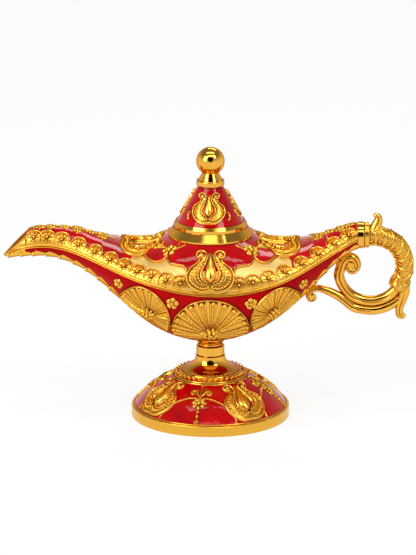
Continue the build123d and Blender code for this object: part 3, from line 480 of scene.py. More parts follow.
def palmette(lay, width, height, relief, pad):
    """All the raised work of one palmette on its pad, with its foot at the middle of the sheet."""
    size = np.array([width, height])
    unit = min(width, height)
    parts = []
    for side in (1, -1):
        flip = size * np.array([side, 1])
        parts.append(web(lay, fair(PALMETTE_RIM, 45) * flip, fair(PALMETTE_INNER_LEAF, 45) * flip, pad))
        for keys, count, widths, share in PALMETTE_LINES:
            parts.append(ribbon(
                lay, fair(keys, count) * flip, unit * np.array(widths), share * relief, lift=pad
            ))
        parts.append(beads(lay, fair(PALMETTE_OUTER_BEADS, 13) * flip, 0.032 * unit, 1.0, pad + 0.2))
        parts.append(beads(lay, fair(PALMETTE_INNER_BEADS, 10) * flip, 0.024 * unit, 1.1, pad + 0.2))
        parts.append(beads(lay, [PALMETTE_EYE * flip], 0.048 * unit, 0.7, 0.8 * pad))
    drop = np.array([(0, TEARDROP_FOOT + TEARDROP_L * i / 23) for i in range(24)]) * size
    parts.append(ribbon(lay, drop, unit * TEARDROP_WIDTHS, relief * TEARDROP_HEIGHTS, KEELED, 0.8 * pad))
    return parts


def piece(name, parts, material, body, replaced=()):
    """Joins parts, each of points in millimetres and faces, into one object that rides on a body."""
    points, faces, start = [], [], 0
    for part_points, part_faces in parts:
        points.append(part_points)
        faces += [tuple(start + k for k in face) for face in part_faces]
        start += len(part_points)
    mesh = bpy.data.meshes.new(name)
    mesh.from_pydata((np.vstack(points) / MM_PER_METRE).tolist(), [], faces)
    mesh.polygons.foreach_set("use_smooth", [True] * len(faces))
    mesh.materials.append(material)
    mesh.update()
    made = bpy.data.objects.new(name, mesh)
    bpy.context.scene.collection.objects.link(made)
    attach(made, body)
    if replaced:
        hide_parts(*replaced)


foot_relief = []
for angle in FOOT_PALMETTE_ANGLES:
    lay = moved(round_sheet(dome_profile, angle), 0, FOOT_PALMETTE_UP)
    foot_relief += palmette(lay, FOOT_PALMETTE_W, FOOT_PALMETTE_H, FOOT_RELIEF, FOOT_PAD)

# Each drop hangs from the ring: a stem, two curling leaves, a star flower, a bud at the rim, and a rope
# of small pearls that swings from the flower under the palmette on either side. Its lines are given by
# millimetres to the side and shares of the way up the dome.
DROP_STEM = [(0, 0.98), (0.2, 0.85), (0, 0.7), (0, 0.4), (0, 0.08)]
DROP_PEARLS = [(0, 0.95), (0, 0.64), (0, 0.3), (0, 0.2)]
DROP_LEAF = [(0, 0.64), (1.2, 0.7), (2.6, 0.78), (4.0, 0.8), (4.8, 0.755), (4.2, 0.71), (3.3, 0.725)]
DROP_TUFT = [(1.6, 0.72), (1.9, 0.8), (2.7, 0.87)]
DROP_ROPE = [(0.8, 0.6), (4.0, 0.605), (7.3, 0.57), (12.5, 0.46), (17.2, 0.32), (20.0, 0.17), (21.6, 0.04)]
DROP_LEAVES = ((DROP_LEAF, 30, (0.9, 1.7, 2.4, 2.2, 1.2), 1.2), (DROP_TUFT, 14, (0.6, 1.5, 0.3), 0.9))
STAR_UP = 0.49
STAR_R = 4.0
BUD_UP = 0.06
BUD_R = 1.5
for angle in FOOT_DROP_ANGLES:
    lay = round_sheet(dome_profile, angle)
    stem = fair(DROP_STEM, 40) * (1, DOME_L)
    foot_relief.append(ribbon(lay, stem, [0.8, 1.0, 0.9, 0.8, 0.6], 0.9))
    foot_relief += flower(moved(lay, 0, STAR_UP * DOME_L), STAR_R, 8, rise=1.2)
    foot_relief.append(beads(lay, np.array(DROP_PEARLS) * (1, DOME_L), 0.85))
    foot_relief += flower(moved(lay, 0, BUD_UP * DOME_L), BUD_R, 5, rise=1.0, start=90)
    for side in (1, -1):
        to_side = (side, DOME_L)
        for keys, count, widths, height in DROP_LEAVES:
            foot_relief.append(ribbon(lay, fair(keys, count) * to_side, widths, height, LEAF))
        rope = fair(DROP_ROPE, 60) * to_side
        foot_relief.append(ribbon(lay, rope, 0.8, 0.7))
        foot_relief.append(beads(lay, rope[5:40:4], 0.55, lift=0.3))
piece("foot_ornament", foot_relief, cast_gold, "lamp")

# A thin wire edges the enamel at the rim and another under the beaded ring
EDGE_WIRE_W = 0.9
EDGE_WIRE_H = 0.55
EDGE_WIRES_UP = (0.35, DOME_L - 0.45)
edge_turn = np.linspace(0, 2 * math.pi, 145)
lay = round_sheet(dome_profile, 0)
foot_wires = []
for b in EDGE_WIRES_UP:
    edge = np.stack([edge_turn * float(dome_profile(b)[0]), np.full_like(edge_turn, b)], axis=1)
    foot_wires.append(ribbon(lay, edge, EDGE_WIRE_W, EDGE_WIRE_H))
piece("foot_edge_wires", foot_wires, polished_gold, "lamp")

# Beaded ring and stem: turned brass, polished and gilt, clamped between foot and bowl by the tie rod.
# A row of pearls is milled round the ring's slope, between a rounded lip and a small step.
PEARLS = 36
PEARL_R = 1.05
PEARL_ROW_R = 17.55
PEARL_ROW_UP = 1.55
PEARL_FACING = (0.7, 0.714)
RING_SLOPE = ((18.1, 1.05), (17.2, 1.75), (16.75, 2.4))
RING_BORE_R = 2.7
RING_LIP_R = 19.5
RING_TOP_R = 15.5
RING_Z = 21.6
RING_H = 3.0


def turned_piece(profile, around=160):
    """A closed profile of radius and height points, turned about the lamp's axis."""
    profile = np.asarray(profile, float)
    turn = np.linspace(0, 2 * math.pi, around, endpoint=False)
    radius, height = profile[:, 0][:, None], profile[:, 1][:, None]
    net = np.stack([radius * np.cos(turn), radius * np.sin(turn), height + 0 * turn], axis=-1)
    return net.reshape(-1, 3), grid_faces(len(profile), around, True)


def moulding(centre_r, centre_z, radius, first, last, count=7):
    """Points of a round moulding, from one angle to another."""
    lean = np.radians(np.linspace(first, last, count))
    return list(zip(centre_r + radius * np.cos(lean), centre_z + radius * np.sin(lean)))


def pearl_slope(b):
    """The ring's slope where the pearls stand."""
    b = np.asarray(b, float)
    out, up = (np.full_like(b, share) for share in PEARL_FACING)
    return PEARL_ROW_R + 0 * b, RING_Z + PEARL_ROW_UP + b, out, up


ring_profile = (
    [(RING_BORE_R, RING_Z), (RING_LIP_R - 0.4, RING_Z)]
    + moulding(RING_LIP_R - 0.55, RING_Z + 0.55, 0.55, -60, 100)
    + [(RING_LIP_R - 0.95, RING_Z + 0.95)]
    + [(radius, RING_Z + up) for radius, up in RING_SLOPE]
    + moulding(RING_TOP_R + 0.5, RING_Z + 2.5, 0.5, 0, 90)
    + [(RING_BORE_R, RING_Z + RING_H)]
)
ring_work = [turned_piece(ring_profile)]
for i in range(PEARLS):
    ring_work.append(beads(round_sheet(pearl_slope, 360 * i / PEARLS), [(0, 0)], PEARL_R, 0.95, 0.2))
piece("beaded_ring_turning", ring_work, polished_gold, "lamp", ["beaded_ring"])
dress(polished_gold, "stem_trumpet", "stem_ring", "bowl_cup")

# Hull: the lower casting of the oil bowl, gilt inside and coated with red enamel outside. Shell fans with
# beaded rays, small flowers and leafy borders under spout and tail are cast on it and gilt.
# Its lines are read off the frame's own castings, so that all that lies on it follows them.
STATIONS = np.linspace(-107.5, 76.8, 190)
SPOUT_CUT_X = -93
NECK_CUT_R = 20.6
SLOPE_STEP = 0.8
HULL_RED = "B40006"
HULL_RED_DEEP = "9C0004"
# Near black painted as shade into the rubbed enamel's corners, and how far that shade reaches
HULL_PAINTED_SHADE = "160001"
HULL_SHADE_REACH = 0.0016
FROST_LIGHT = "F0CC7C"
FROST_DARK = "E3BA66"
FROST_GRIT = 0.0005


def crossing(node, x):
    """Points where a casting's mesh crosses the plane at x, in millimetres."""
    left, right = casting_corners[node], np.roll(casting_corners[node], -1, axis=1)
    cut = (left[..., 0] - x) * (right[..., 0] - x) < 0
    a, b = left[cut], right[cut]
    share = ((x - a[:, 0]) / (b[:, 0] - a[:, 0]))[:, None]
    return a + (b - a) * share


casting_corners = {}
for node in ("hull_shell", "deck_shell"):
    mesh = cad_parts[node].data
    mesh.calc_loop_triangles()
    at = np.zeros(len(mesh.vertices) * 3)
    mesh.vertices.foreach_get("co", at)
    corner = np.zeros(len(mesh.loop_triangles) * 3, int)
    mesh.loop_triangles.foreach_get("vertices", corner)
    casting_corners[node] = at.reshape(-1, 3)[corner].reshape(-1, 3, 3) * MM_PER_METRE

# Half width, seam height, keel and crest at each station; forward of the spout's cut and over the filler's
# hole the crest runs on as the deck's curve does
lines_read = []
for x in STATIONS:
    below = crossing("hull_shell", x)
    half, rim, keel = abs(below[:, 1]).max(), below[:, 2].max(), below[:, 2].min()
    above = crossing("deck_shell", x)
    crest = float("nan")
    if len(above) and x > SPOUT_CUT_X:
        top = above[above[:, 2].argmax()]
        crest = rim + (top[2] - rim) / math.sqrt(max(0.05, 1 - (top[1] / half) ** 2))
    lines_read.append((half, rim, keel, crest))
HALF, RIM, KEEL, CREST = np.array(lines_read).T
uncut = ~np.isnan(CREST)
lead = np.polyfit(STATIONS[uncut][:8], CREST[uncut][:8], 1)
CREST[~uncut] = np.polyval(lead, STATIONS[~uncut])


def faired(line):
    """A line read off a mesh, freed of the small steps of its facets."""
    longer = np.pad(line, 2, mode="reflect", reflect_type="odd")
    return np.convolve(longer, np.full(5, 0.2), mode="valid")


HALF, RIM, KEEL, CREST = (faired(line) for line in (HALF, RIM, KEEL, CREST))


def line_at(line, x):
    """One of the bowl's lines at station x."""
    return np.interp(x, STATIONS, line)


def slope_at(line, x):
    """How steeply one of the bowl's lines runs at station x."""
    return (line_at(line, x + SLOPE_STEP) - line_at(line, x - SLOPE_STEP)) / (2 * SLOPE_STEP)


def bowl(x, degrees, h=0.0):
    """Points on the bowl at station x, h outside it: 0 is the near seam, 90 the ridge, -90 the keel."""
    x, lean = np.broadcast_arrays(np.asarray(x, float), np.radians(np.asarray(degrees, float)))
    half, rim = line_at(HALF, x), line_at(RIM, x)
    upper = np.sin(lean) >= 0
    tall = np.where(upper, line_at(CREST, x) - rim, rim - line_at(KEEL, x))
    point = np.stack([x, -half * np.cos(lean), rim + tall * np.sin(lean)], axis=-1)
    rim_slope = slope_at(RIM, x)
    tall_slope = np.where(upper, slope_at(CREST, x) - rim_slope, rim_slope - slope_at(KEEL, x))
    side_slope = -slope_at(HALF, x) * np.cos(lean)
    along = np.stack([np.ones_like(x), side_slope, rim_slope + tall_slope * np.sin(lean)], axis=-1)
    across = np.stack([np.zeros_like(x), half * np.sin(lean), tall * np.cos(lean)], axis=-1)
    out = np.cross(along, across)
    out /= np.linalg.norm(out, axis=-1, keepdims=True)
    return point + out * np.asarray(h, float)[..., None]


def angle_on_bowl(points):
    """Angle round the bowl of points on it or near it."""
    x = points[..., 0]
    rim = line_at(RIM, x)
    over = points[..., 2] - rim
    tall = np.where(over >= 0, line_at(CREST, x) - rim, rim - line_at(KEEL, x))
    return np.degrees(np.arctan2(over / tall, -points[..., 1] / line_at(HALF, x)))


def bowl_sheet(x0, degrees, turn=0.0):
    """Lays flat work on the bowl about a point of it: a along it, b towards the ridge, then turned."""
    middle = bowl(x0, degrees)
    out = bowl(x0, degrees, 1.0) - middle
    run = bowl(x0 + 0.5, degrees) - bowl(x0 - 0.5, degrees)
    run = run - out * run.dot(out)
    run /= np.linalg.norm(run)
    rise = np.cross(out, run)
    c, s = math.cos(math.radians(turn)), math.sin(math.radians(turn))
    a_way, b_way = run * c + rise * s, rise * c - run * s
    def lay(a, b, h):
        a, b = np.asarray(a, float), np.asarray(b, float)
        flat = middle + a[..., None] * a_way + b[..., None] * b_way
        return bowl(flat[..., 0], angle_on_bowl(flat), h)
    return lay


def bowl_net(x, lean, rise):
    """A sheet over rows of stations and columns of angles on the bowl."""
    x = np.broadcast_to(np.asarray(x)[:, None], lean.shape)
    return bowl(x, lean, rise).reshape(-1, 3), grid_faces(*lean.shape)


def bowl_strip(path, widths, heights, section=ROUND, lift=0.0):
    """A strip along a dense line of the bowl given by stations and angles."""
    path = np.asarray(path, float)
    foot = bowl(path[:, 0], path[:, 1])
    tip = bowl(path[:, 0], path[:, 1], np.ones(len(path)))
    return strip(foot, tip - foot, widths, heights, section, lift)


def both_sides(parts):
    """The work given, and the same again on the far side of the lamp."""
    far = np.array([1, -1, 1])
    return parts + [(points * far, [face[::-1] for face in faces]) for points, faces in parts]


# Sandblasted gold plate inside the bowl and on the deck is pale and matt, with grit marks drawn 0.5 mm
# across to show; painted shade darkens it brown in its corners
frosted_gold, tree = blank_material("sandblasted gold plate")
grit, pale = mottle(tree, FROST_GRIT, 3.0, (0.35, FROST_DARK), (0.65, FROST_LIGHT))
frost_tone = with_painted_shade(tree, pale, GOLD_PAINTED_SHADE, CREVICE_REACH, 0.35, 0.85)
blast = add(tree, "ShaderNodeBump", {"Strength": 0.3, "Distance": MARK_DEPTH}, {"Height": grit})
frost = add(
    tree,
    "ShaderNodeBsdfPrincipled",
    {"Metallic": 0.8, "Roughness": 0.44},
    {"Base Color": frost_tone, "Normal": blast.outputs["Normal"]},
)
add(tree, "ShaderNodeOutputMaterial", links={"Surface": frost.outputs["BSDF"]})
dress(frosted_gold, "hull_shell", "deck_shell")

# Under the seam the enamel was rubbed down after firing, so it is much the same red without the gloss;
# painted shade turns it near black in its corners
rubbed_enamel, tree = blank_material("rubbed red enamel")
red = mottle(tree, ENAMEL_CLOUD, 3.0, (0.3, HULL_RED_DEEP), (0.7, HULL_RED))[1]
rubbed = add(
    tree,
    "ShaderNodeBsdfPrincipled",
    {"Roughness": 0.5, "IOR": 1.45, "Specular IOR Level": 0.06},
    {"Base Color": with_painted_shade(tree, red, HULL_PAINTED_SHADE, HULL_SHADE_REACH, 0.5, 0.95)},
)
add(tree, "ShaderNodeOutputMaterial", links={"Surface": rubbed.outputs["BSDF"]})

COAT_H = 0.12
EDGE_SUNK = -0.1
coat_x = np.linspace(-99.5, 76.7, 260)
coat_lean = np.tile(np.linspace(-1.2, -178.8, 90), (len(coat_x), 1))
coat_h = np.full(coat_lean.shape, COAT_H)
coat_h[0] = coat_h[-1] = EDGE_SUNK
piece("hull_enamel", [bowl_net(coat_x, coat_lean, coat_h)], rubbed_enamel, "lamp")

# A fan's edge is given by stations and angles, in their order round its boss
FRONT_BOSS = (0.0, -43.0)
FRONT_BOSS_R = 5.6
FRONT_FAN_EDGE = [
    (-20.3, -44.0), (-19.4, -36.5), (-17.8, -26.0), (-15.0, -17.8), (-10.8, -10.2), (-6.0, -6.2),
    (0.0, -4.6), (6.0, -6.2), (10.8, -10.2), (15.0, -17.8), (17.8, -26.0), (19.4, -36.5), (20.3, -44.0),
    (19.5, -56.0), (15.5, -66.0), (8.0, -72.5), (0.0, -74.5), (-8.0, -72.5), (-15.5, -66.0), (-19.5, -56.0),
]
SPOUT_BOSS = (-31.9, -37.0)
TAIL_BOSS = (32.6, -38.0)
SIDE_BOSS_R = 4.6
SPOUT_FAN_EDGE = [
    (-46.3, -45.0), (-45.6, -33.0), (-43.7, -22.7), (-40.0, -11.0), (-36.0, -6.4), (-31.6, -6.4),
    (-27.3, -10.0), (-23.7, -16.5), (-21.6, -25.0), (-20.9, -34.5), (-21.2, -46.0), (-22.6, -58.0),
    (-27.0, -68.0), (-33.5, -71.5), (-40.0, -68.0), (-44.6, -58.0),
]
TAIL_FAN_EDGE = [(-x, lean) for x, lean in reversed(SPOUT_FAN_EDGE)]
FAN_FINGERS = 22
FAN_GROUND_H = 0.2
FAN_RIM_W = 1.15
FAN_RIM_H = 1.3
BEADED_FINGER = np.linspace(0.2, 0.955, 18)
PLAIN_FINGER = np.linspace(0.2, 0.99, 18)
# Place along a finger and radius of each bead on it, as shares of its length and of its pitch
FINGER_BEADS = ((0.42, 0.08), (0.52, 0.09), (0.62, 0.1), (0.72, 0.11), (0.82, 0.12), (0.92, 0.21))
BOSS_BEADS = 7
MM_PER_DEGREE = 0.6
RELIEF_ENDS_AT = -68
RELIEF_FULL_AT = -43
STEPS_PER_KEY = 16


def loop_line(keys):
    """A smooth closed line through the points given, back to its first."""
    dense = fair(keys[-2:] + keys + keys[:3], (len(keys) + 4) * STEPS_PER_KEY + 1)
    return dense[2 * STEPS_PER_KEY:(len(keys) + 2) * STEPS_PER_KEY + 1]


def relief_at(lean):
    """Share of the full relief on the hull, which dies away towards the keel."""
    return np.clip((np.asarray(lean) - RELIEF_ENDS_AT) / (RELIEF_FULL_AT - RELIEF_ENDS_AT), 0.05, 1.0)


def fan(boss, keys, boss_r):
    """A shell fan about a boss on the hull: beaded fingers and plain flat ones by turns, in a rim wire."""
    boss = np.array(boss)
    edge = loop_line(keys)
    away = edge - boss
    bearing = np.unwrap(np.arctan2(away[:, 1] * MM_PER_DEGREE, away[:, 0]))
    if bearing[-1] < bearing[0]:
        away, bearing = away[::-1], bearing[::-1]
    def spot(turn, share):
        turn = (turn - bearing[0]) % (2 * math.pi) + bearing[0]
        way = np.array([np.interp(turn, bearing, away[:, 0]), np.interp(turn, bearing, away[:, 1])])
        return boss + np.atleast_1d(share)[:, None] * way
    shares = np.linspace(0.05, 1.0, 10)
    ground = np.array([spot(turn, shares) for turn in np.linspace(0, 2 * math.pi, 121)])
    rise = np.full(ground.shape[:2], FAN_GROUND_H)
    rise[:, -1] = EDGE_SUNK
    net = bowl(ground[..., 0], ground[..., 1], rise)
    parts = [(net.reshape(-1, 3), grid_faces(*rise.shape))]
    parts.append(bowl_strip(edge, FAN_RIM_W, FAN_RIM_H * relief_at(edge[:, 1])))
    for i in range(FAN_FINGERS):
        turn = 2 * math.pi * (i + 0.25) / FAN_FINGERS
        path = spot(turn, BEADED_FINGER)
        line = bowl(path[:, 0], path[:, 1])
        length = np.linalg.norm(line[-1] - line[0]) / (BEADED_FINGER[-1] - BEADED_FINGER[0])
        pitch = 2 * math.pi * length / FAN_FINGERS
        high = FAN_GROUND_H + relief_at(path[:, 1]) * spread([0.7, 1.1], len(path))
        parts.append(bowl_strip(path, [0.1 * pitch, 0.42 * pitch], high))
        for share, radius in FINGER_BEADS:
            x, lean = spot(turn, share)[0]
            raised = float(relief_at(lean))
            parts.append(beads(bowl_sheet(x, lean), [(0, 0)], radius * pitch, raised, 0.9 * raised))
        path = spot(turn + math.pi / FAN_FINGERS, PLAIN_FINGER)
        high = FAN_GROUND_H + relief_at(path[:, 1]) * spread([0.4, 0.65], len(path))
        parts.append(bowl_strip(path, [0.1 * pitch, 0.44 * pitch], high, FLAT))
    lay = bowl_sheet(*boss)
    parts += flower(lay, boss_r, 10, rise=1.3, lift=0.7, fullness=3.4, section=FLAT)
    ring_turn = np.radians(np.arange(BOSS_BEADS) * 360 / BOSS_BEADS)
    ring = 0.48 * boss_r * np.stack([np.cos(ring_turn), np.sin(ring_turn)], axis=1)
    parts.append(beads(lay, ring, 0.21 * boss_r, lift=1.7))
    parts.append(beads(lay, [(0, 0)], 0.27 * boss_r, lift=1.9))
    return parts


hull_relief = fan(FRONT_BOSS, FRONT_FAN_EDGE, FRONT_BOSS_R)
hull_relief += fan(SPOUT_BOSS, SPOUT_FAN_EDGE, SIDE_BOSS_R)
hull_relief += fan(TAIL_BOSS, TAIL_FAN_EDGE, SIDE_BOSS_R)
piece("hull_fans", both_sides(hull_relief), cast_gold, "lamp")

# Station, angle and radius of each flower between the fans
HULL_FLOWERS = ((-47.6, -20.0, 3.1), (-19.7, -12.8, 3.5), (21.0, -12.8, 3.5), (48.2, -23.8, 3.1))
flower_work = []
for x0, degrees, radius in HULL_FLOWERS:
    lay = bowl_sheet(x0, degrees)
    flower_work += flower(lay, radius, 5, rise=1.0, start=90, fullness=4.4, section=FLAT)
piece("hull_flowers", both_sides(flower_work), cast_gold, "lamp")

# Borders of overlapping leaves cover the keel under the spout and the tail, with a pearl at each joint.
# Each leaf is highest just after its pearl and slopes to the next one, going towards the bowl.
SPOUT_PEARLS = (-105.0, -98.7, -92.4, -85.3, -78.1, -70.9, -64.3, -58.0, -52.0, -47.0)
TAIL_PEARLS = (76.6, 71.2, 65.6, 60.0, 54.6, 50.0, 46.6)
BORDER_PEARL_R = 0.75
LEAF_H = 2.3
LEAF_H_PER_DEPTH = 0.25
leaf_share = np.linspace(-0.1, 1.0, 24)
leaf_height = np.interp(leaf_share, [-0.1, 0.0, 0.16, 0.3, 1.0], [0.4, 0.75, 1.0, 0.98, 0.62])
leaf_thick = 1.25 - 0.8 * np.clip(leaf_share, 0, 1)
leaf_across = np.array([0.45, 0.55, 0.68, 0.8, 0.92, 1.0, 0.85, -0.2])


def above_keel(x, share):
    """Angle at a share of the border's height above the keel; the border widens with the hull."""
    tall = line_at(RIM, x) - line_at(KEEL, x)
    height = share * (LEAF_H + LEAF_H_PER_DEPTH * tall)
    return -np.degrees(np.arcsin(np.clip(1 - height / tall, 0.05, 1)))


leaf_work = []
for stops in (SPOUT_PEARLS, TAIL_PEARLS):
    for here, there in zip(stops, stops[1:]):
        x = np.clip(here + (there - here) * leaf_share, STATIONS[0], STATIONS[-1])
        top = above_keel(x, leaf_height)
        lean = -90 + (top + 90)[:, None] * np.linspace(0, 1, len(leaf_across))[None, :]
        leaf_work.append(bowl_net(x, lean, leaf_thick[:, None] * leaf_across[None, :]))
        lay = bowl_sheet(here, float(above_keel(here, 0.6)))
        leaf_work.append(beads(lay, [(0, 0)], BORDER_PEARL_R, lift=0.9))
piece("keel_borders", both_sides(leaf_work), cast_gold, "lamp")

# Deck: the upper casting, sandblasted gilt, with a row of arched niches along the seam, four palmettes
# about the lid, and raised wires that part the bare gold from the red enamel. The enamel lies in the
# fields beside the lid and along the ridge of spout and tail, rounded over at the wires.
NICHE_STATIONS = (
    -91.8, -85.0, -77.2, -68.6, -60.0, -51.9, -44.6, -37.6, -30.3, -22.8, -15.4,
    14.6, 21.8, 29.9, 38.4, 47.1, 55.8, 64.3, 72.1,
)
NICHE_R = 4.0
NICHE_UP = 4.5
ROSETTE_R = 3.1
GROUND_SPANS = ((-95.0, -42.0), (42.0, 76.6))
FRONT_PALMETTE_W = 25.2
FRONT_PALMETTE_H = 25.0
FRONT_PALMETTE_LEAN = 26.0
FRONT_PALMETTE_DOWN = -12.9
FRONT_RELIEF = 0.85
RIDGE_PALMETTE_W = 46.0
RIDGE_PALMETTE_H = 24.0
RIDGE_PALMETTE_X = 47.4
RIDGE_RELIEF = 0.8
DECK_PAD = 0.85

# Half of the wire beside the lid, from the front palmette to the ridge palmette, cusped at a floret, and
# the lines of the work about that floret, by stations and angles
CARTOUCHE_NEAR = [
    (12.0, 26.0), (14.0, 31.5), (17.5, 34.0), (20.2, 36.5), (21.4, 41.0), (21.9, 48.0), (21.7, 54.0),
]
CARTOUCHE_FAR = [
    (21.9, 53.0), (22.5, 48.0), (24.4, 43.5), (27.2, 42.0), (30.0, 44.8), (32.4, 50.5), (34.3, 57.0),
]
# The red's lower edge follows both wires and then passes under the ridge palmette
FIELD_EDGE = CARTOUCHE_NEAR + CARTOUCHE_FAR[1:] + [(38.0, 54.0), (40.5, 52.0), (42.0, 40.0)]
FLORET_AT = (21.0, 56.0)
FLORET_R = 4.4
PEARL_ROPE = [(22.8, 61.0), (24.5, 65.0), (26.6, 67.5), (28.6, 68.5)]
ROPE_PEARL_R = 0.75
TENDRIL = [(18.6, 55.0), (15.6, 56.0), (13.2, 58.0), (12.2, 61.0)]
SPRIG = [(15.4, 56.2), (16.4, 60.5), (15.6, 63.5)]


def up_from_seam(x, length):
    """Angle that is a length up the deck from the seam at station x."""
    lean = np.linspace(0, 88, 89)
    line = bowl(np.full_like(lean, x), lean)
    run = np.concatenate([[0], np.cumsum(np.linalg.norm(np.diff(line, axis=0), axis=1))])
    return float(np.interp(length, run, lean))


niche_work = []
# Along spout and tail the ground between the arches has the arches' own bright finish
for first, last in GROUND_SPANS:
    ground_x = np.linspace(first, last, 70)
    ground_top = np.array([up_from_seam(x, NICHE_UP + 0.4) for x in ground_x])
    lean = 1.0 + (ground_top - 1.0)[:, None] * np.linspace(0, 1, 8)[None, :]
    niche_work.append(bowl_net(ground_x, lean, np.full(lean.shape, 0.1)))
arch_lines = []
arch_turn = np.radians(np.linspace(208, -28, 35))
arch = NICHE_R * np.stack([np.cos(arch_turn), np.sin(arch_turn)], axis=1)
sill = np.stack([1.05 * arch[:, 0], np.full(len(arch), 0.4 - NICHE_UP)], axis=1)
arch_top = arch[4:-4]
for x0 in NICHE_STATIONS:
    lay = bowl_sheet(x0, up_from_seam(x0, NICHE_UP))
    niche_work.append(web(lay, arch, sill, 0.12, 7))
    niche_work.append(ribbon(lay, arch, [0.8, 1.25, 1.35, 1.25, 0.8], [0.7, 1.15, 1.25, 1.15, 0.7]))
    niche_work += flower(lay, ROSETTE_R, 8, rise=1.2, start=90, lift=0.2, fullness=2.3, section=ROUND)
    arch_line = lay(arch_top[:, 0], arch_top[:, 1], np.zeros(len(arch_top)))
    arch_lines.append((arch_line[:, 0], angle_on_bowl(arch_line)))
niche_nodes = ["near_spout_niches", "near_tail_niches", "far_spout_niches", "far_tail_niches"]
piece("deck_niches", both_sides(niche_work), cast_gold, "lamp", niche_nodes)


def field_edge(x):
    """Angle of the enamel's lower edge at station x: the wires by the lid, the arches beyond."""
    edge_x, edge_lean = np.array(FIELD_EDGE).T
    if abs(x) < edge_x[-1]:
        return float(np.interp(abs(x), np.maximum.accumulate(edge_x), edge_lean))
    best = up_from_seam(x, NICHE_UP)
    for arch_x, arch_lean in arch_lines:
        if arch_x[0] < x < arch_x[-1]:
            best = max(best, float(np.interp(x, np.maximum.accumulate(arch_x), arch_lean)))
    return best


# The enamel swells from a thin edge to its full depth in about two millimetres
FIELD_SWELL = 0.55
FIELD_ROUNDING = 1.8
field_x = np.linspace(-94.8, 76.6, 560)
low_edge = np.array([field_edge(x) for x in field_x])[:, None]
half_here = line_at(HALF, field_x)
neck_y = np.sqrt(np.maximum(0, (NECK_CUT_R + 0.5) ** 2 - field_x ** 2))
high_edge = np.degrees(np.arccos(np.minimum(1, neck_y / half_here)))[:, None]
lean = low_edge + (high_edge - low_edge) * np.linspace(0, 1, 26)[None, :]
from_edge = np.radians(lean - low_edge) * half_here[:, None]
swell = COAT_H + FIELD_SWELL * (1 - np.exp(-np.maximum(from_edge, 0) / FIELD_ROUNDING))
swell[:, 0] = EDGE_SUNK
swell[0] = swell[-1] = EDGE_SUNK
enamel_field = [bowl_net(field_x, lean, swell)]
piece("deck_enamel", both_sides(enamel_field), red_enamel, "lamp")

deck_work = []
for side in (1, -1):
    to_side = (side, 1)
    for keys in (CARTOUCHE_NEAR, CARTOUCHE_FAR):
        deck_work.append(bowl_strip(fair(keys, 50) * to_side, 1.0, 1.25))
    # A five-petalled floret, a rope of pearls to the ridge palmette and a tendril that rises to the lid
    lay = bowl_sheet(side * FLORET_AT[0], FLORET_AT[1])
    tilt = 90 + 10 * side
    deck_work += flower(lay, FLORET_R, 5, rise=1.1, start=tilt, lift=0.6, fullness=4.2, section=FLAT)
    rope = fair(PEARL_ROPE, 12) * to_side
    deck_work.append(bowl_strip(fair(rope, 30), 1.5, 1.1))
    for x, lean in rope:
        deck_work.append(beads(bowl_sheet(x, lean), [(0, 0)], ROPE_PEARL_R, lift=0.7))
    deck_work.append(bowl_strip(fair(TENDRIL, 24) * to_side, [0.7, 0.8, 0.5], 1.1))
    deck_work.append(bowl_strip(fair(SPRIG, 14) * to_side, [0.5, 1.5, 0.3], 1.2, LEAF))
lay = moved(bowl_sheet(0, FRONT_PALMETTE_LEAN), 0, FRONT_PALMETTE_DOWN)
deck_work += palmette(lay, FRONT_PALMETTE_W, FRONT_PALMETTE_H, FRONT_RELIEF, DECK_PAD)
deck_work = both_sides(deck_work)
for side in (-1, 1):
    lay = bowl_sheet(side * (RIDGE_PALMETTE_X - RIDGE_PALMETTE_H / 2), 90.0, side * 90)
    lay = moved(lay, 0, -RIDGE_PALMETTE_H / 2)
    deck_work += palmette(lay, RIDGE_PALMETTE_W, RIDGE_PALMETTE_H, RIDGE_RELIEF, DECK_PAD)
palmette_nodes = ["front_palmette", "back_palmette", "spout_palmette", "tail_palmette"]
piece("deck_palmettes", deck_work, cast_gold, "lamp", palmette_nodes)

# Florets with leaves in a chain along the ridge of the spout and the tail, and at every second floret a
# spray that hangs down the red on each side
CHAIN_STATIONS = (-56.5, -63.0, -69.5, -76.3, -83.2, -89.0, 56.2, 62.0, 67.6, 72.6)
CHAIN_WIRES = ((-50.0, -91.0), (50.0, 75.5))
CHAIN_LEAVES = 6
SPRAY_STATIONS = (-56.5, -69.5, -83.2, 56.2, 67.6)
SPRAY_DROP = 7.0
# Direction of each leaf of a spray, in degrees from straight down, and its share of the drop
SPRAY_LEAVES = ((0.0, 0.58), (62.0, 0.5), (-62.0, 0.5), (118.0, 0.4), (-118.0, 0.4))
LEAF_LIFT = 0.65
chain = []
for x0 in SPRAY_STATIONS:
    lay = bowl_sheet(x0, 90.0)
    rise_line = bowl(np.full(60, x0), np.linspace(0, 90, 60))
    free_field = np.linalg.norm(np.diff(rise_line, axis=0), axis=1).sum() - NICHE_UP - NICHE_R
    drop = min(0.85 * free_field, SPRAY_DROP)
    for side in (1, -1):
        middle = np.array([[0.0, side * 0.45 * drop]])
        chain.append(beads(lay, middle, 0.8, 0.9, 0.9))
        for turn, share in SPRAY_LEAVES:
            way = np.array([[math.sin(math.radians(turn)), side * math.cos(math.radians(turn))]])
            leaf = middle + np.linspace(0.05, 1.0, 9)[:, None] * share * drop * way
            chain.append(ribbon(lay, leaf, [0.6, 1.6, 1.4, 0.2], [0.7, 0.8, 0.6, 0.2], LEAF, LEAF_LIFT))
for x0 in CHAIN_STATIONS:
    lay = bowl_sheet(x0, 90.0)
    chain.append(beads(lay, [(0, 0)], 1.0, 0.9, 0.9))
    for point in range(CHAIN_LEAVES):
        turn = math.radians(30 + 360 / CHAIN_LEAVES * point)
        leaf = np.linspace(0.4, 3.7, 9)[:, None] * np.array([[math.cos(turn), math.sin(turn)]])
        chain.append(ribbon(lay, leaf, [0.7, 1.7, 1.5, 0.2], [0.7, 0.75, 0.6, 0.2], LEAF, LEAF_LIFT))
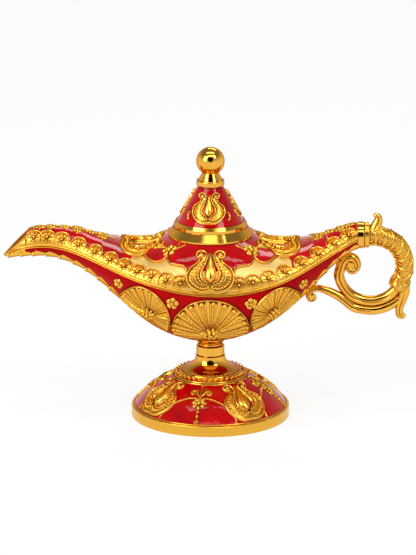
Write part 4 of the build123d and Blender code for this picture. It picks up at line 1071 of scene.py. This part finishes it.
for start, end in CHAIN_WIRES:
    chain.append(bowl_strip(fair([(start, 90.0), ((start + end) / 2, 90.0), (end, 90.0)], 60), 0.9, 1.2))
piece("ridge_florets", chain, cast_gold, "lamp")

# Seam: a half-round wire soldered over the joint of the castings, with a thinner one under it, brushed.
# Together they hide the joint and part the deck's gold from the hull's red.
# Each wire by its height over the joint, its width and its thickness
SEAM_WIRES = ((0.4, 1.5, 0.85), (-0.7, 0.8, 0.7))
seam_x = np.linspace(-104.5, 76.8, 240)
seam_wires = []
for up, width, height in SEAM_WIRES:
    tall_here = abs(line_at(CREST if up > 0 else KEEL, seam_x) - line_at(RIM, seam_x))
    lean = np.degrees(up / np.maximum(tall_here, 1.0))
    seam_wires.append(bowl_strip(np.stack([seam_x, lean], axis=1), width, height))
piece("seam_wires", both_sides(seam_wires), satin_gold, "lamp", ["seam_bead"])

# Spout mouth: the beak is left bare and polished, with a slanting ring soldered over its end and the slot
# that the wick came through.
MOUTH_SLOPE = math.radians(44.5)
MOUTH_MARGIN = 1.2
CHEEK_END = -96.6
CHEEK_H = 0.16
# A wire in a slow curve, by stations and heights, parts the bare cheek from the first niche
LIP_CURVE = [
    (-104.8, 86.9), (-99.7, 89.4), (-96.9, 91.9), (-96.2, 93.8), (-96.5, 96.1), (-95.7, 98.0),
    (-94.4, 99.4),
]
# Angles between which the bare cheek lies, below the seam and above it
CHEEK_SPANS = ((-90.0, -2.0), (2.0, 60.0))
lip_x = np.linspace(-107.0, CHEEK_END, 40)
mouth_low = np.array(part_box("mouth_ring")[0]) * MM_PER_METRE
cheeks = []
for low, high in CHEEK_SPANS:
    limit = mouth_low[2] + (lip_x - mouth_low[0]) * math.tan(MOUTH_SLOPE) - MOUTH_MARGIN
    over = limit - line_at(RIM, lip_x)
    tall = abs(line_at(KEEL if high < 0 else CREST, lip_x) - line_at(RIM, lip_x))
    tops = np.clip(np.degrees(np.arcsin(np.clip(over / tall, -1, 1))), low, high)
    lean = low + (tops - low)[:, None] * np.linspace(0, 1, 16)[None, :]
    cheeks.append(bowl_net(lip_x, lean, np.full(lean.shape, CHEEK_H)))
lip_line = fair(LIP_CURVE, 60)
lip_rim = line_at(RIM, lip_line[:, 0])
lip_tall = line_at(CREST, lip_line[:, 0]) - lip_rim
lip_lean = np.degrees(np.arcsin(np.clip((lip_line[:, 1] - lip_rim) / lip_tall, 0.02, 0.98)))
cheeks.append(bowl_strip(np.stack([lip_line[:, 0], lip_lean], axis=1), 0.9, 0.9))
piece("spout_cheeks", both_sides(cheeks), polished_gold, "lamp")
dress(cast_gold, "mouth_ring")

# Filler neck and lid: a plain ring in the deck takes the lid's sleeve. The lid is a turned skirt and band,
# polished, under an enamelled cone with three palmettes, topped by a turned collar and a ball.
CONE_R = 17.2
CONE_TOP_R = 6.5
CONE_Z = 105.8
CONE_H = 18.5
CONE_L = math.hypot(CONE_R - CONE_TOP_R, CONE_H)
LID_TURN = -4.6
LID_PALMETTE_W = 18.2
LID_PALMETTE_H = 17.4
LID_PALMETTE_UP = 1.5
LID_RELIEF = 0.65
LID_PAD = 0.25
LID_TENDRIL = [(8.2, 4.6), (9.4, 5.7), (10.8, 5.9), (11.8, 4.6), (11.9, 2.6)]
LID_BEAD = (11.8, 2.2)
dress(polished_gold, "filler_neck", "lid_sleeve", "lid_skirt", "lid_band", "finial_collar", "finial_ball")
dress(red_enamel, "lid_cone")
dress(zinc, "lid_screw", "lid_washer")


def cone_profile(b):
    """Radius, height and outward direction at b along the cone's side, from its foot."""
    share = np.asarray(b, float) / CONE_L
    out = np.full_like(share, CONE_H / CONE_L)
    up = np.full_like(share, (CONE_R - CONE_TOP_R) / CONE_L)
    return CONE_R + (CONE_TOP_R - CONE_R) * share, CONE_Z + CONE_H * share, out, up


lid_relief = []
for third in range(3):
    lay = moved(round_sheet(cone_profile, LID_TURN + 120 * third), 0, LID_PALMETTE_UP)
    lid_relief += palmette(lay, LID_PALMETTE_W, LID_PALMETTE_H, LID_RELIEF, LID_PAD)
    for side in (1, -1):
        lid_relief.append(ribbon(lay, fair(LID_TENDRIL, 24) * (side, 1), [0.6, 0.8, 0.6], 0.8))
        lid_relief.append(beads(lay, [(side * LID_BEAD[0], LID_BEAD[1])], 0.8))
piece("lid_ornament", lid_relief, cast_gold, "lid_top")

# Handle: cast in one with its scrolls and screwed to the tail through a ferrule. An acanthus grip runs over
# the finger hole into a polished loop that ends in a volute, with an outer strap and a scrolled bracket.
HOLE_X = 84.08
HOLE_Z = 78.5
dress(polished_gold, "tail_ferrule")
dress(cast_gold, "handle_collar")
dress(zinc, "tail_nut", "handle_stud")


def about_hole(radius, degrees):
    """A point of the handle's plane, about the middle of the finger hole."""
    turn = math.radians(degrees)
    return (HOLE_X + radius * math.cos(turn), HOLE_Z + radius * math.sin(turn))


# Angles round half of a bar, close together at the middle of its face, where the groove runs
BAR_TURNS = np.radians((0, 18, 36, 52, 66, 75, 81, 84, 87, 90, 93, 96, 99, 105, 114, 128, 144, 162))
GROOVE_W = 0.16


def tube(keys, radii, count, groove=(0.0,), flat=1.0):
    """A bar along a line of the handle's plane, grooved on its two faces and thinned across by flat."""
    path = fair(keys, count)
    radius = spread(radii, count)[:, None]
    run = np.gradient(path, axis=0)
    run /= np.linalg.norm(run, axis=1)[:, None]
    side = np.stack([-run[:, 1], run[:, 0]], axis=1)
    turn = np.concatenate([BAR_TURNS, BAR_TURNS + math.pi])
    around = len(turn)
    dip = np.clip(1 - (np.cos(turn) / GROOVE_W) ** 2, 0, 1)[None, :] * spread(groove, count)[:, None]
    out = radius * np.cos(turn)[None, :]
    deep = radius * np.sin(turn)[None, :] * (1 - dip) * flat
    net = np.stack([path[:, 0:1] + side[:, 0:1] * out, deep, path[:, 1:2] + side[:, 1:2] * out], axis=-1)
    ends = np.array([[path[0, 0], 0, path[0, 1]], [path[-1, 0], 0, path[-1, 1]]])
    faces = grid_faces(count, around, True)
    last = (count - 1) * around
    faces += [((j + 1) % around, j, count * around) for j in range(around)]
    faces += [(last + j, last + (j + 1) % around, count * around + 1) for j in range(around)]
    return np.vstack([net.reshape(-1, 3), ends]), faces


def tube_sheet(keys, radii):
    """Lays flat work on a bar: a round it from its near face, away from the hole first, and b along it."""
    fine = fair(keys, 400)
    run = np.concatenate([[0], np.cumsum(np.linalg.norm(np.diff(fine, axis=0), axis=1))])
    def on_line(b):
        return np.stack([np.interp(b, run, fine[:, k]) for k in (0, 1)], axis=-1)
    def lay(a, b, h):
        a, b, h = np.asarray(a, float), np.asarray(b, float), np.asarray(h, float)
        way = on_line(b + 0.2) - on_line(b - 0.2)
        way /= np.maximum(np.linalg.norm(way, axis=-1, keepdims=True), 1e-9)
        radius = np.interp(b / run[-1], np.linspace(0, 1, len(radii)), radii)
        out = (radius + h) * np.sin(a / radius)
        near = -(radius + h) * np.cos(a / radius)
        middle = on_line(b)
        x, z = middle[..., 0] - way[..., 1] * out, middle[..., 1] + way[..., 0] * out
        return np.stack([x, near, z], axis=-1)
    return lay, run[-1]


GRIP_BEND = ((19.1, 75), (19.3, 50), (18.7, 27), (17.9, 4), (16.9, -18), (16.4, -36))
GRIP_KEYS = [(82.9, 97.5)] + [about_hole(radius, degrees) for radius, degrees in GRIP_BEND]
GRIP_RADII = (5.0, 4.9, 4.8, 4.6, 4.3, 4.1)
GRIP_LEAVES = 8
PEBBLE_R = 0.56
PEBBLE_PITCH = 1.2
PEBBLE_ROW = 1.15
# Lines on one face of the grip, for each leaf: millimetres round the bar and shares of the leaf's pitch
GRIP_LEAF = [(5.6, -0.2), (3.6, 0.1), (1.4, 0.45), (-1.2, 0.6), (-3.4, 0.45), (-4.6, 0.05)]
GRIP_SCROLL = [(-4.4, 0.1), (-3.2, -0.12), (-1.9, 0.02), (-2.2, 0.25), (-3.1, 0.22), (-3.0, 0.08)]
GRIP_EDGE = [(-6.6, 0.0), (-5.6, 0.3), (-5.2, 0.7), (-6.4, 1.0)]
# Each of them with its number of points, widths, heights and section
GRIP_LINES = (
    (GRIP_LEAF, 26, (0.6, 1.9, 2.5, 2.2, 1.5, 0.5), (0.6, 0.95, 1.15, 1.1, 0.9, 0.4), LEAF),
    (GRIP_SCROLL, 26, (0.9, 0.9, 0.7), (0.9, 1.0, 0.8), ROUND),
    (GRIP_EDGE, 16, (0.6, 1.3, 1.3, 0.6), (0.5, 0.8, 0.8, 0.5), ROUND),
)
grip_parts = [tube(GRIP_KEYS, GRIP_RADII, 120)]
lay, grip_length = tube_sheet(GRIP_KEYS, GRIP_RADII)

# Pebbles cover the middle of each face, more to its outer side; leaves slant across the face over them,
# and a scroll curls at the inner end of each leaf
pebble_places = []
for row in range(int(grip_length / PEBBLE_ROW)):
    for column in range(-2, 4):
        pebble_places.append((PEBBLE_PITCH * (column + 0.5 * (row % 2)), 0.9 + PEBBLE_ROW * row))
pebble_work = [beads(lay, pebble_places, PEBBLE_R, 0.75)]
face_work = []
pitch = grip_length / GRIP_LEAVES
for i in range(GRIP_LEAVES):
    start = (0, pitch * (i + 0.1))
    for keys, count, widths, heights, section in GRIP_LINES:
        face_work.append(ribbon(lay, fair(keys, count) * (1, pitch) + start, widths, heights, section))
grip_parts += both_sides(pebble_work) + both_sides(face_work)

# A smooth liner runs under the grip's root, a ribbed cuff closes its lower end, a horn for the thumb stands
# on it and a spur hangs from the cuff
LINER = [(79.2, 92.4), (82.4, 93.6), (85.6, 94.0), (88.8, 93.6)]
CUFF = [about_hole(16.9, -20), about_hole(16.5, -30), about_hole(16.3, -39)]
CUFF_RIBS = 6
HORN = [(86.0, 100.0), (86.8, 102.8), (87.6, 105.2), (87.6, 107.0), (86.4, 108.0), (85.2, 107.6)]
SPUR = [
    (101.4, 70.0), (101.6, 66.6), (100.7, 62.6), (99.6, 59.0), (99.2, 56.0), (99.8, 54.0), (101.2, 53.5),
    (102.0, 54.6),
]
grip_parts.append(tube(LINER, (1.0, 1.7, 1.8, 1.3), 30))
grip_parts.append(tube(CUFF, (4.4, 5.1, 4.9, 3.6), 24, (0.12,)))
cuff_b = grip_length * 0.9
for i in range(CUFF_RIBS):
    end = -5.0 + 2.2 * i
    rib = fair([(end, cuff_b - 2.4), (-5.2 + 2.3 * i, cuff_b), (end, cuff_b + 3.2)], 14)
    grip_parts += both_sides([ribbon(lay, rib, [0.5, 1.5, 0.5], [0.6, 1.3, 1.0], LEAF)])
grip_parts.append(tube(HORN, (4.0, 3.0, 2.4, 1.9, 1.4, 0.7), 42, (0.0, 0.3, 0.35, 0.3, 0.1), 0.9))
grip_parts.append(tube(SPUR, (3.2, 3.0, 2.6, 2.2, 2.0, 2.1, 1.7, 0.8), 48, (0.0, 0.3, 0.3, 0.1), 0.95))
piece("grip_casting", grip_parts, cast_gold, "lamp", ["handle_grip"])

LOOP_KEYS = [about_hole(17.0, degrees) for degrees in (-36, -58, -80, -102, -124, -146, -168)] + [
    (68.1, 79.2), (69.0, 82.3), (70.8, 84.8), (73.0, 85.5), (75.4, 84.5), (76.7, 82.3), (76.8, 80.1),
    (75.6, 78.3), (74.0, 77.7), (72.4, 78.7), (71.9, 80.4), (72.7, 81.5), (73.7, 81.0),
]
LOOP_RADII = (2.85, 2.85, 2.85, 2.85, 2.8, 2.75, 2.7, 2.6, 2.4, 2.1, 1.85, 1.65, 1.4, 1.1, 0.8)
LOOP_GROOVE = (0.0, 0.3, 0.4, 0.45, 0.45, 0.45, 0.4, 0.3)
# The strap under the loop runs on into the bracket
BRACKET_KEYS = [about_hole(22.0, degrees) for degrees in (-46, -60, -74, -88, -104)] + [
    (75.0, 58.3), (71.2, 61.4), (67.0, 64.4), (62.8, 66.5), (59.4, 67.8), (56.5, 68.4), (54.0, 67.9),
    (52.0, 66.1), (51.3, 63.9), (52.4, 62.0), (54.1, 62.0), (55.0, 63.5), (54.3, 64.9), (53.3, 64.7),
]
BRACKET_RADII = (
    2.0, 2.4, 2.5, 2.5, 2.5, 2.55, 2.5, 2.4, 2.2, 2.0, 1.85, 1.65, 1.4, 1.2, 1.0, 0.9, 0.8, 0.7, 0.6,
)
BRACKET_GROOVE = [0.0] * 4 + [0.3] + [0.45] * 8 + [0.35] * 6
STRAP_PEARLS = 9
STRAP_PEARL_R = 0.55
# Middle and radius of the web in the eye of each volute
VOLUTE_EYES = (((74.2, 81.0), 3.4), ((53.5, 63.9), 2.1))


def face_sheet(depth):
    """Lays flat work on the handle's near face, that deep in front of its middle."""
    def lay(a, b, h):
        a, b, h = np.broadcast_arrays(np.asarray(a, float), b, h)
        return np.stack([a, -depth - h, b], axis=-1)
    return lay


scroll_parts = [
    tube(LOOP_KEYS, LOOP_RADII, 240, LOOP_GROOVE, 0.95),
    tube(BRACKET_KEYS, BRACKET_RADII, 230, BRACKET_GROOVE, 0.95),
]
# A row of pearls fills the joint of loop and strap, and a domed web closes the eye of each volute
pearl_places = [about_hole(20.2, -72 + 3.2 * i) for i in range(STRAP_PEARLS)]
scroll_parts += both_sides([beads(face_sheet(1.75), pearl_places, STRAP_PEARL_R)])
eye_webs = [beads(face_sheet(0.2), [middle], radius, 0.3) for middle, radius in VOLUTE_EYES]
scroll_parts += both_sides(eye_webs)
scroll_nodes = ["handle_loop", "handle_strap", "handle_bracket"]
piece("scroll_casting", scroll_parts, polished_gold, "lamp", scroll_nodes)

# Floor, light and camera: a plain white sweep with soft boxes, and a long lens from slightly above.
FLOOR_R = 3.0
FLOOR_CORNERS = 96
FLOOR_WHITE = "F2F2F2"
FLOOR_SEEN_WHITE = 0.86
SWEEP_WHITE = "FFFFFF"
STUDIO_GREY = "8A8884"
BEHIND_CAMERA = (0.0, -0.9, 0.436)
LAMP_MIDDLE = Vector((0, 0, 0.08))
# Place and size in metres and power in watts of each soft box
SOFT_BOXES = {
    "left_soft_box": ((-1.02, -0.95, 0.88), (0.75, 1.0), 14),
    "right_soft_box": ((0.75, -0.75, 1.15), (0.4, 0.6), 5),
    "front_soft_box": ((0.0, -0.95, 1.5), (1.5, 0.45), 5),
    "top_soft_box": ((0.0, -0.1, 1.6), (1.3, 0.28), 6),
    "back_soft_box": ((0.2, 1.1, 1.2), (0.9, 0.35), 5),
}
CAMERA_ELEVATION = math.radians(15.8)
CAMERA_DISTANCE = 1.888
SENSOR_H = 36.0
FOCAL_PIXELS = 3600
PHOTO_H = 555
AIM = (-0.00126, 0.0, 0.0743)

# The floor is matt white; seen straight or in the metal it is mixed with plain white, and keeps the shadow
floor_paint, tree = blank_material("white studio paint")
ray = add(tree, "ShaderNodeLightPath").outputs
seen = add(
    tree, "ShaderNodeMath", {"operation": "MAXIMUM"}, {0: ray["Is Camera Ray"], 1: ray["Is Glossy Ray"]}
)
also = add(
    tree, "ShaderNodeMath", {"operation": "MAXIMUM"}, {0: seen.outputs[0], 1: ray["Is Transmission Ray"]}
)
share = add(tree, "ShaderNodeMath", {"operation": "MULTIPLY", 1: FLOOR_SEEN_WHITE}, {0: also.outputs[0]})
matt = add(tree, "ShaderNodeBsdfDiffuse", {"Color": linear(FLOOR_WHITE)})
white = add(tree, "ShaderNodeEmission", {"Color": linear(SWEEP_WHITE), "Strength": 1.0})
blend = add(
    tree,
    "ShaderNodeMixShader",
    links={0: share.outputs[0], 1: matt.outputs["BSDF"], 2: white.outputs["Emission"]},
)
add(tree, "ShaderNodeOutputMaterial", links={"Surface": blend.outputs["Shader"]})

turn = np.linspace(0, 2 * math.pi, FLOOR_CORNERS, endpoint=False)
corners = [(FLOOR_R * math.cos(t), FLOOR_R * math.sin(t), 0) for t in turn]
disc = bpy.data.meshes.new("studio_floor")
disc.from_pydata(corners, [], [tuple(range(FLOOR_CORNERS))])
disc.materials.append(floor_paint)
floor = bpy.data.objects.new("studio_floor", disc)
bpy.context.scene.collection.objects.link(floor)

# The white sweep goes all round the horizon; above it the studio is dim, and nearly black behind the camera
world = bpy.data.worlds.new("studio")
bpy.context.scene.world = world
world.use_nodes = True
tree = world.node_tree
tree.nodes.clear()
place = add(tree, "ShaderNodeTexCoord")
apart = add(tree, "ShaderNodeSeparateXYZ", links={"Vector": place.outputs["Generated"]})
room = add(
    tree,
    "ShaderNodeValToRGB",
    {"stops": [(0.05, SWEEP_WHITE), (0.62, STUDIO_GREY)]},
    {"Fac": apart.outputs["Z"]},
)
behind = add(
    tree,
    "ShaderNodeVectorMath",
    {"operation": "DOT_PRODUCT", 1: BEHIND_CAMERA},
    {0: place.outputs["Generated"]},
)
unlit = add(
    tree,
    "ShaderNodeMapRange",
    {"From Min": 0.905, "From Max": 0.935, "To Min": 1.0, "To Max": 0.03},
    {"Value": behind.outputs["Value"]},
)
studio = add(
    tree,
    "ShaderNodeBackground",
    links={"Color": room.outputs["Color"], "Strength": unlit.outputs["Result"]},
)
add(tree, "ShaderNodeOutputWorld", links={"Surface": studio.outputs["Background"]})

# Each soft box faces the middle of the lamp
for name, (at, size, power) in SOFT_BOXES.items():
    panel = bpy.data.lights.new(name, "AREA")
    panel.shape = "RECTANGLE"
    panel.size, panel.size_y = size
    panel.energy = power
    box = bpy.data.objects.new(name, panel)
    bpy.context.scene.collection.objects.link(box)
    box.location = at
    box.rotation_euler = (box.location - LAMP_MIDDLE).to_track_quat("Z", "Y").to_euler()

lens = bpy.data.cameras.new("photo_camera")
lens.sensor_fit = "VERTICAL"
lens.sensor_height = SENSOR_H
lens.lens = FOCAL_PIXELS / PHOTO_H * SENSOR_H
lens.clip_end = 20
camera = bpy.data.objects.new("photo_camera", lens)
bpy.context.scene.collection.objects.link(camera)
camera.location = (
    AIM[0],
    AIM[1] - CAMERA_DISTANCE * math.cos(CAMERA_ELEVATION),
    AIM[2] + CAMERA_DISTANCE * math.sin(CAMERA_ELEVATION),
)
camera.rotation_euler = (math.pi / 2 - CAMERA_ELEVATION, 0, 0)
bpy.context.scene.camera = camera
bpy.context.scene.view_settings.view_transform = "Standard"
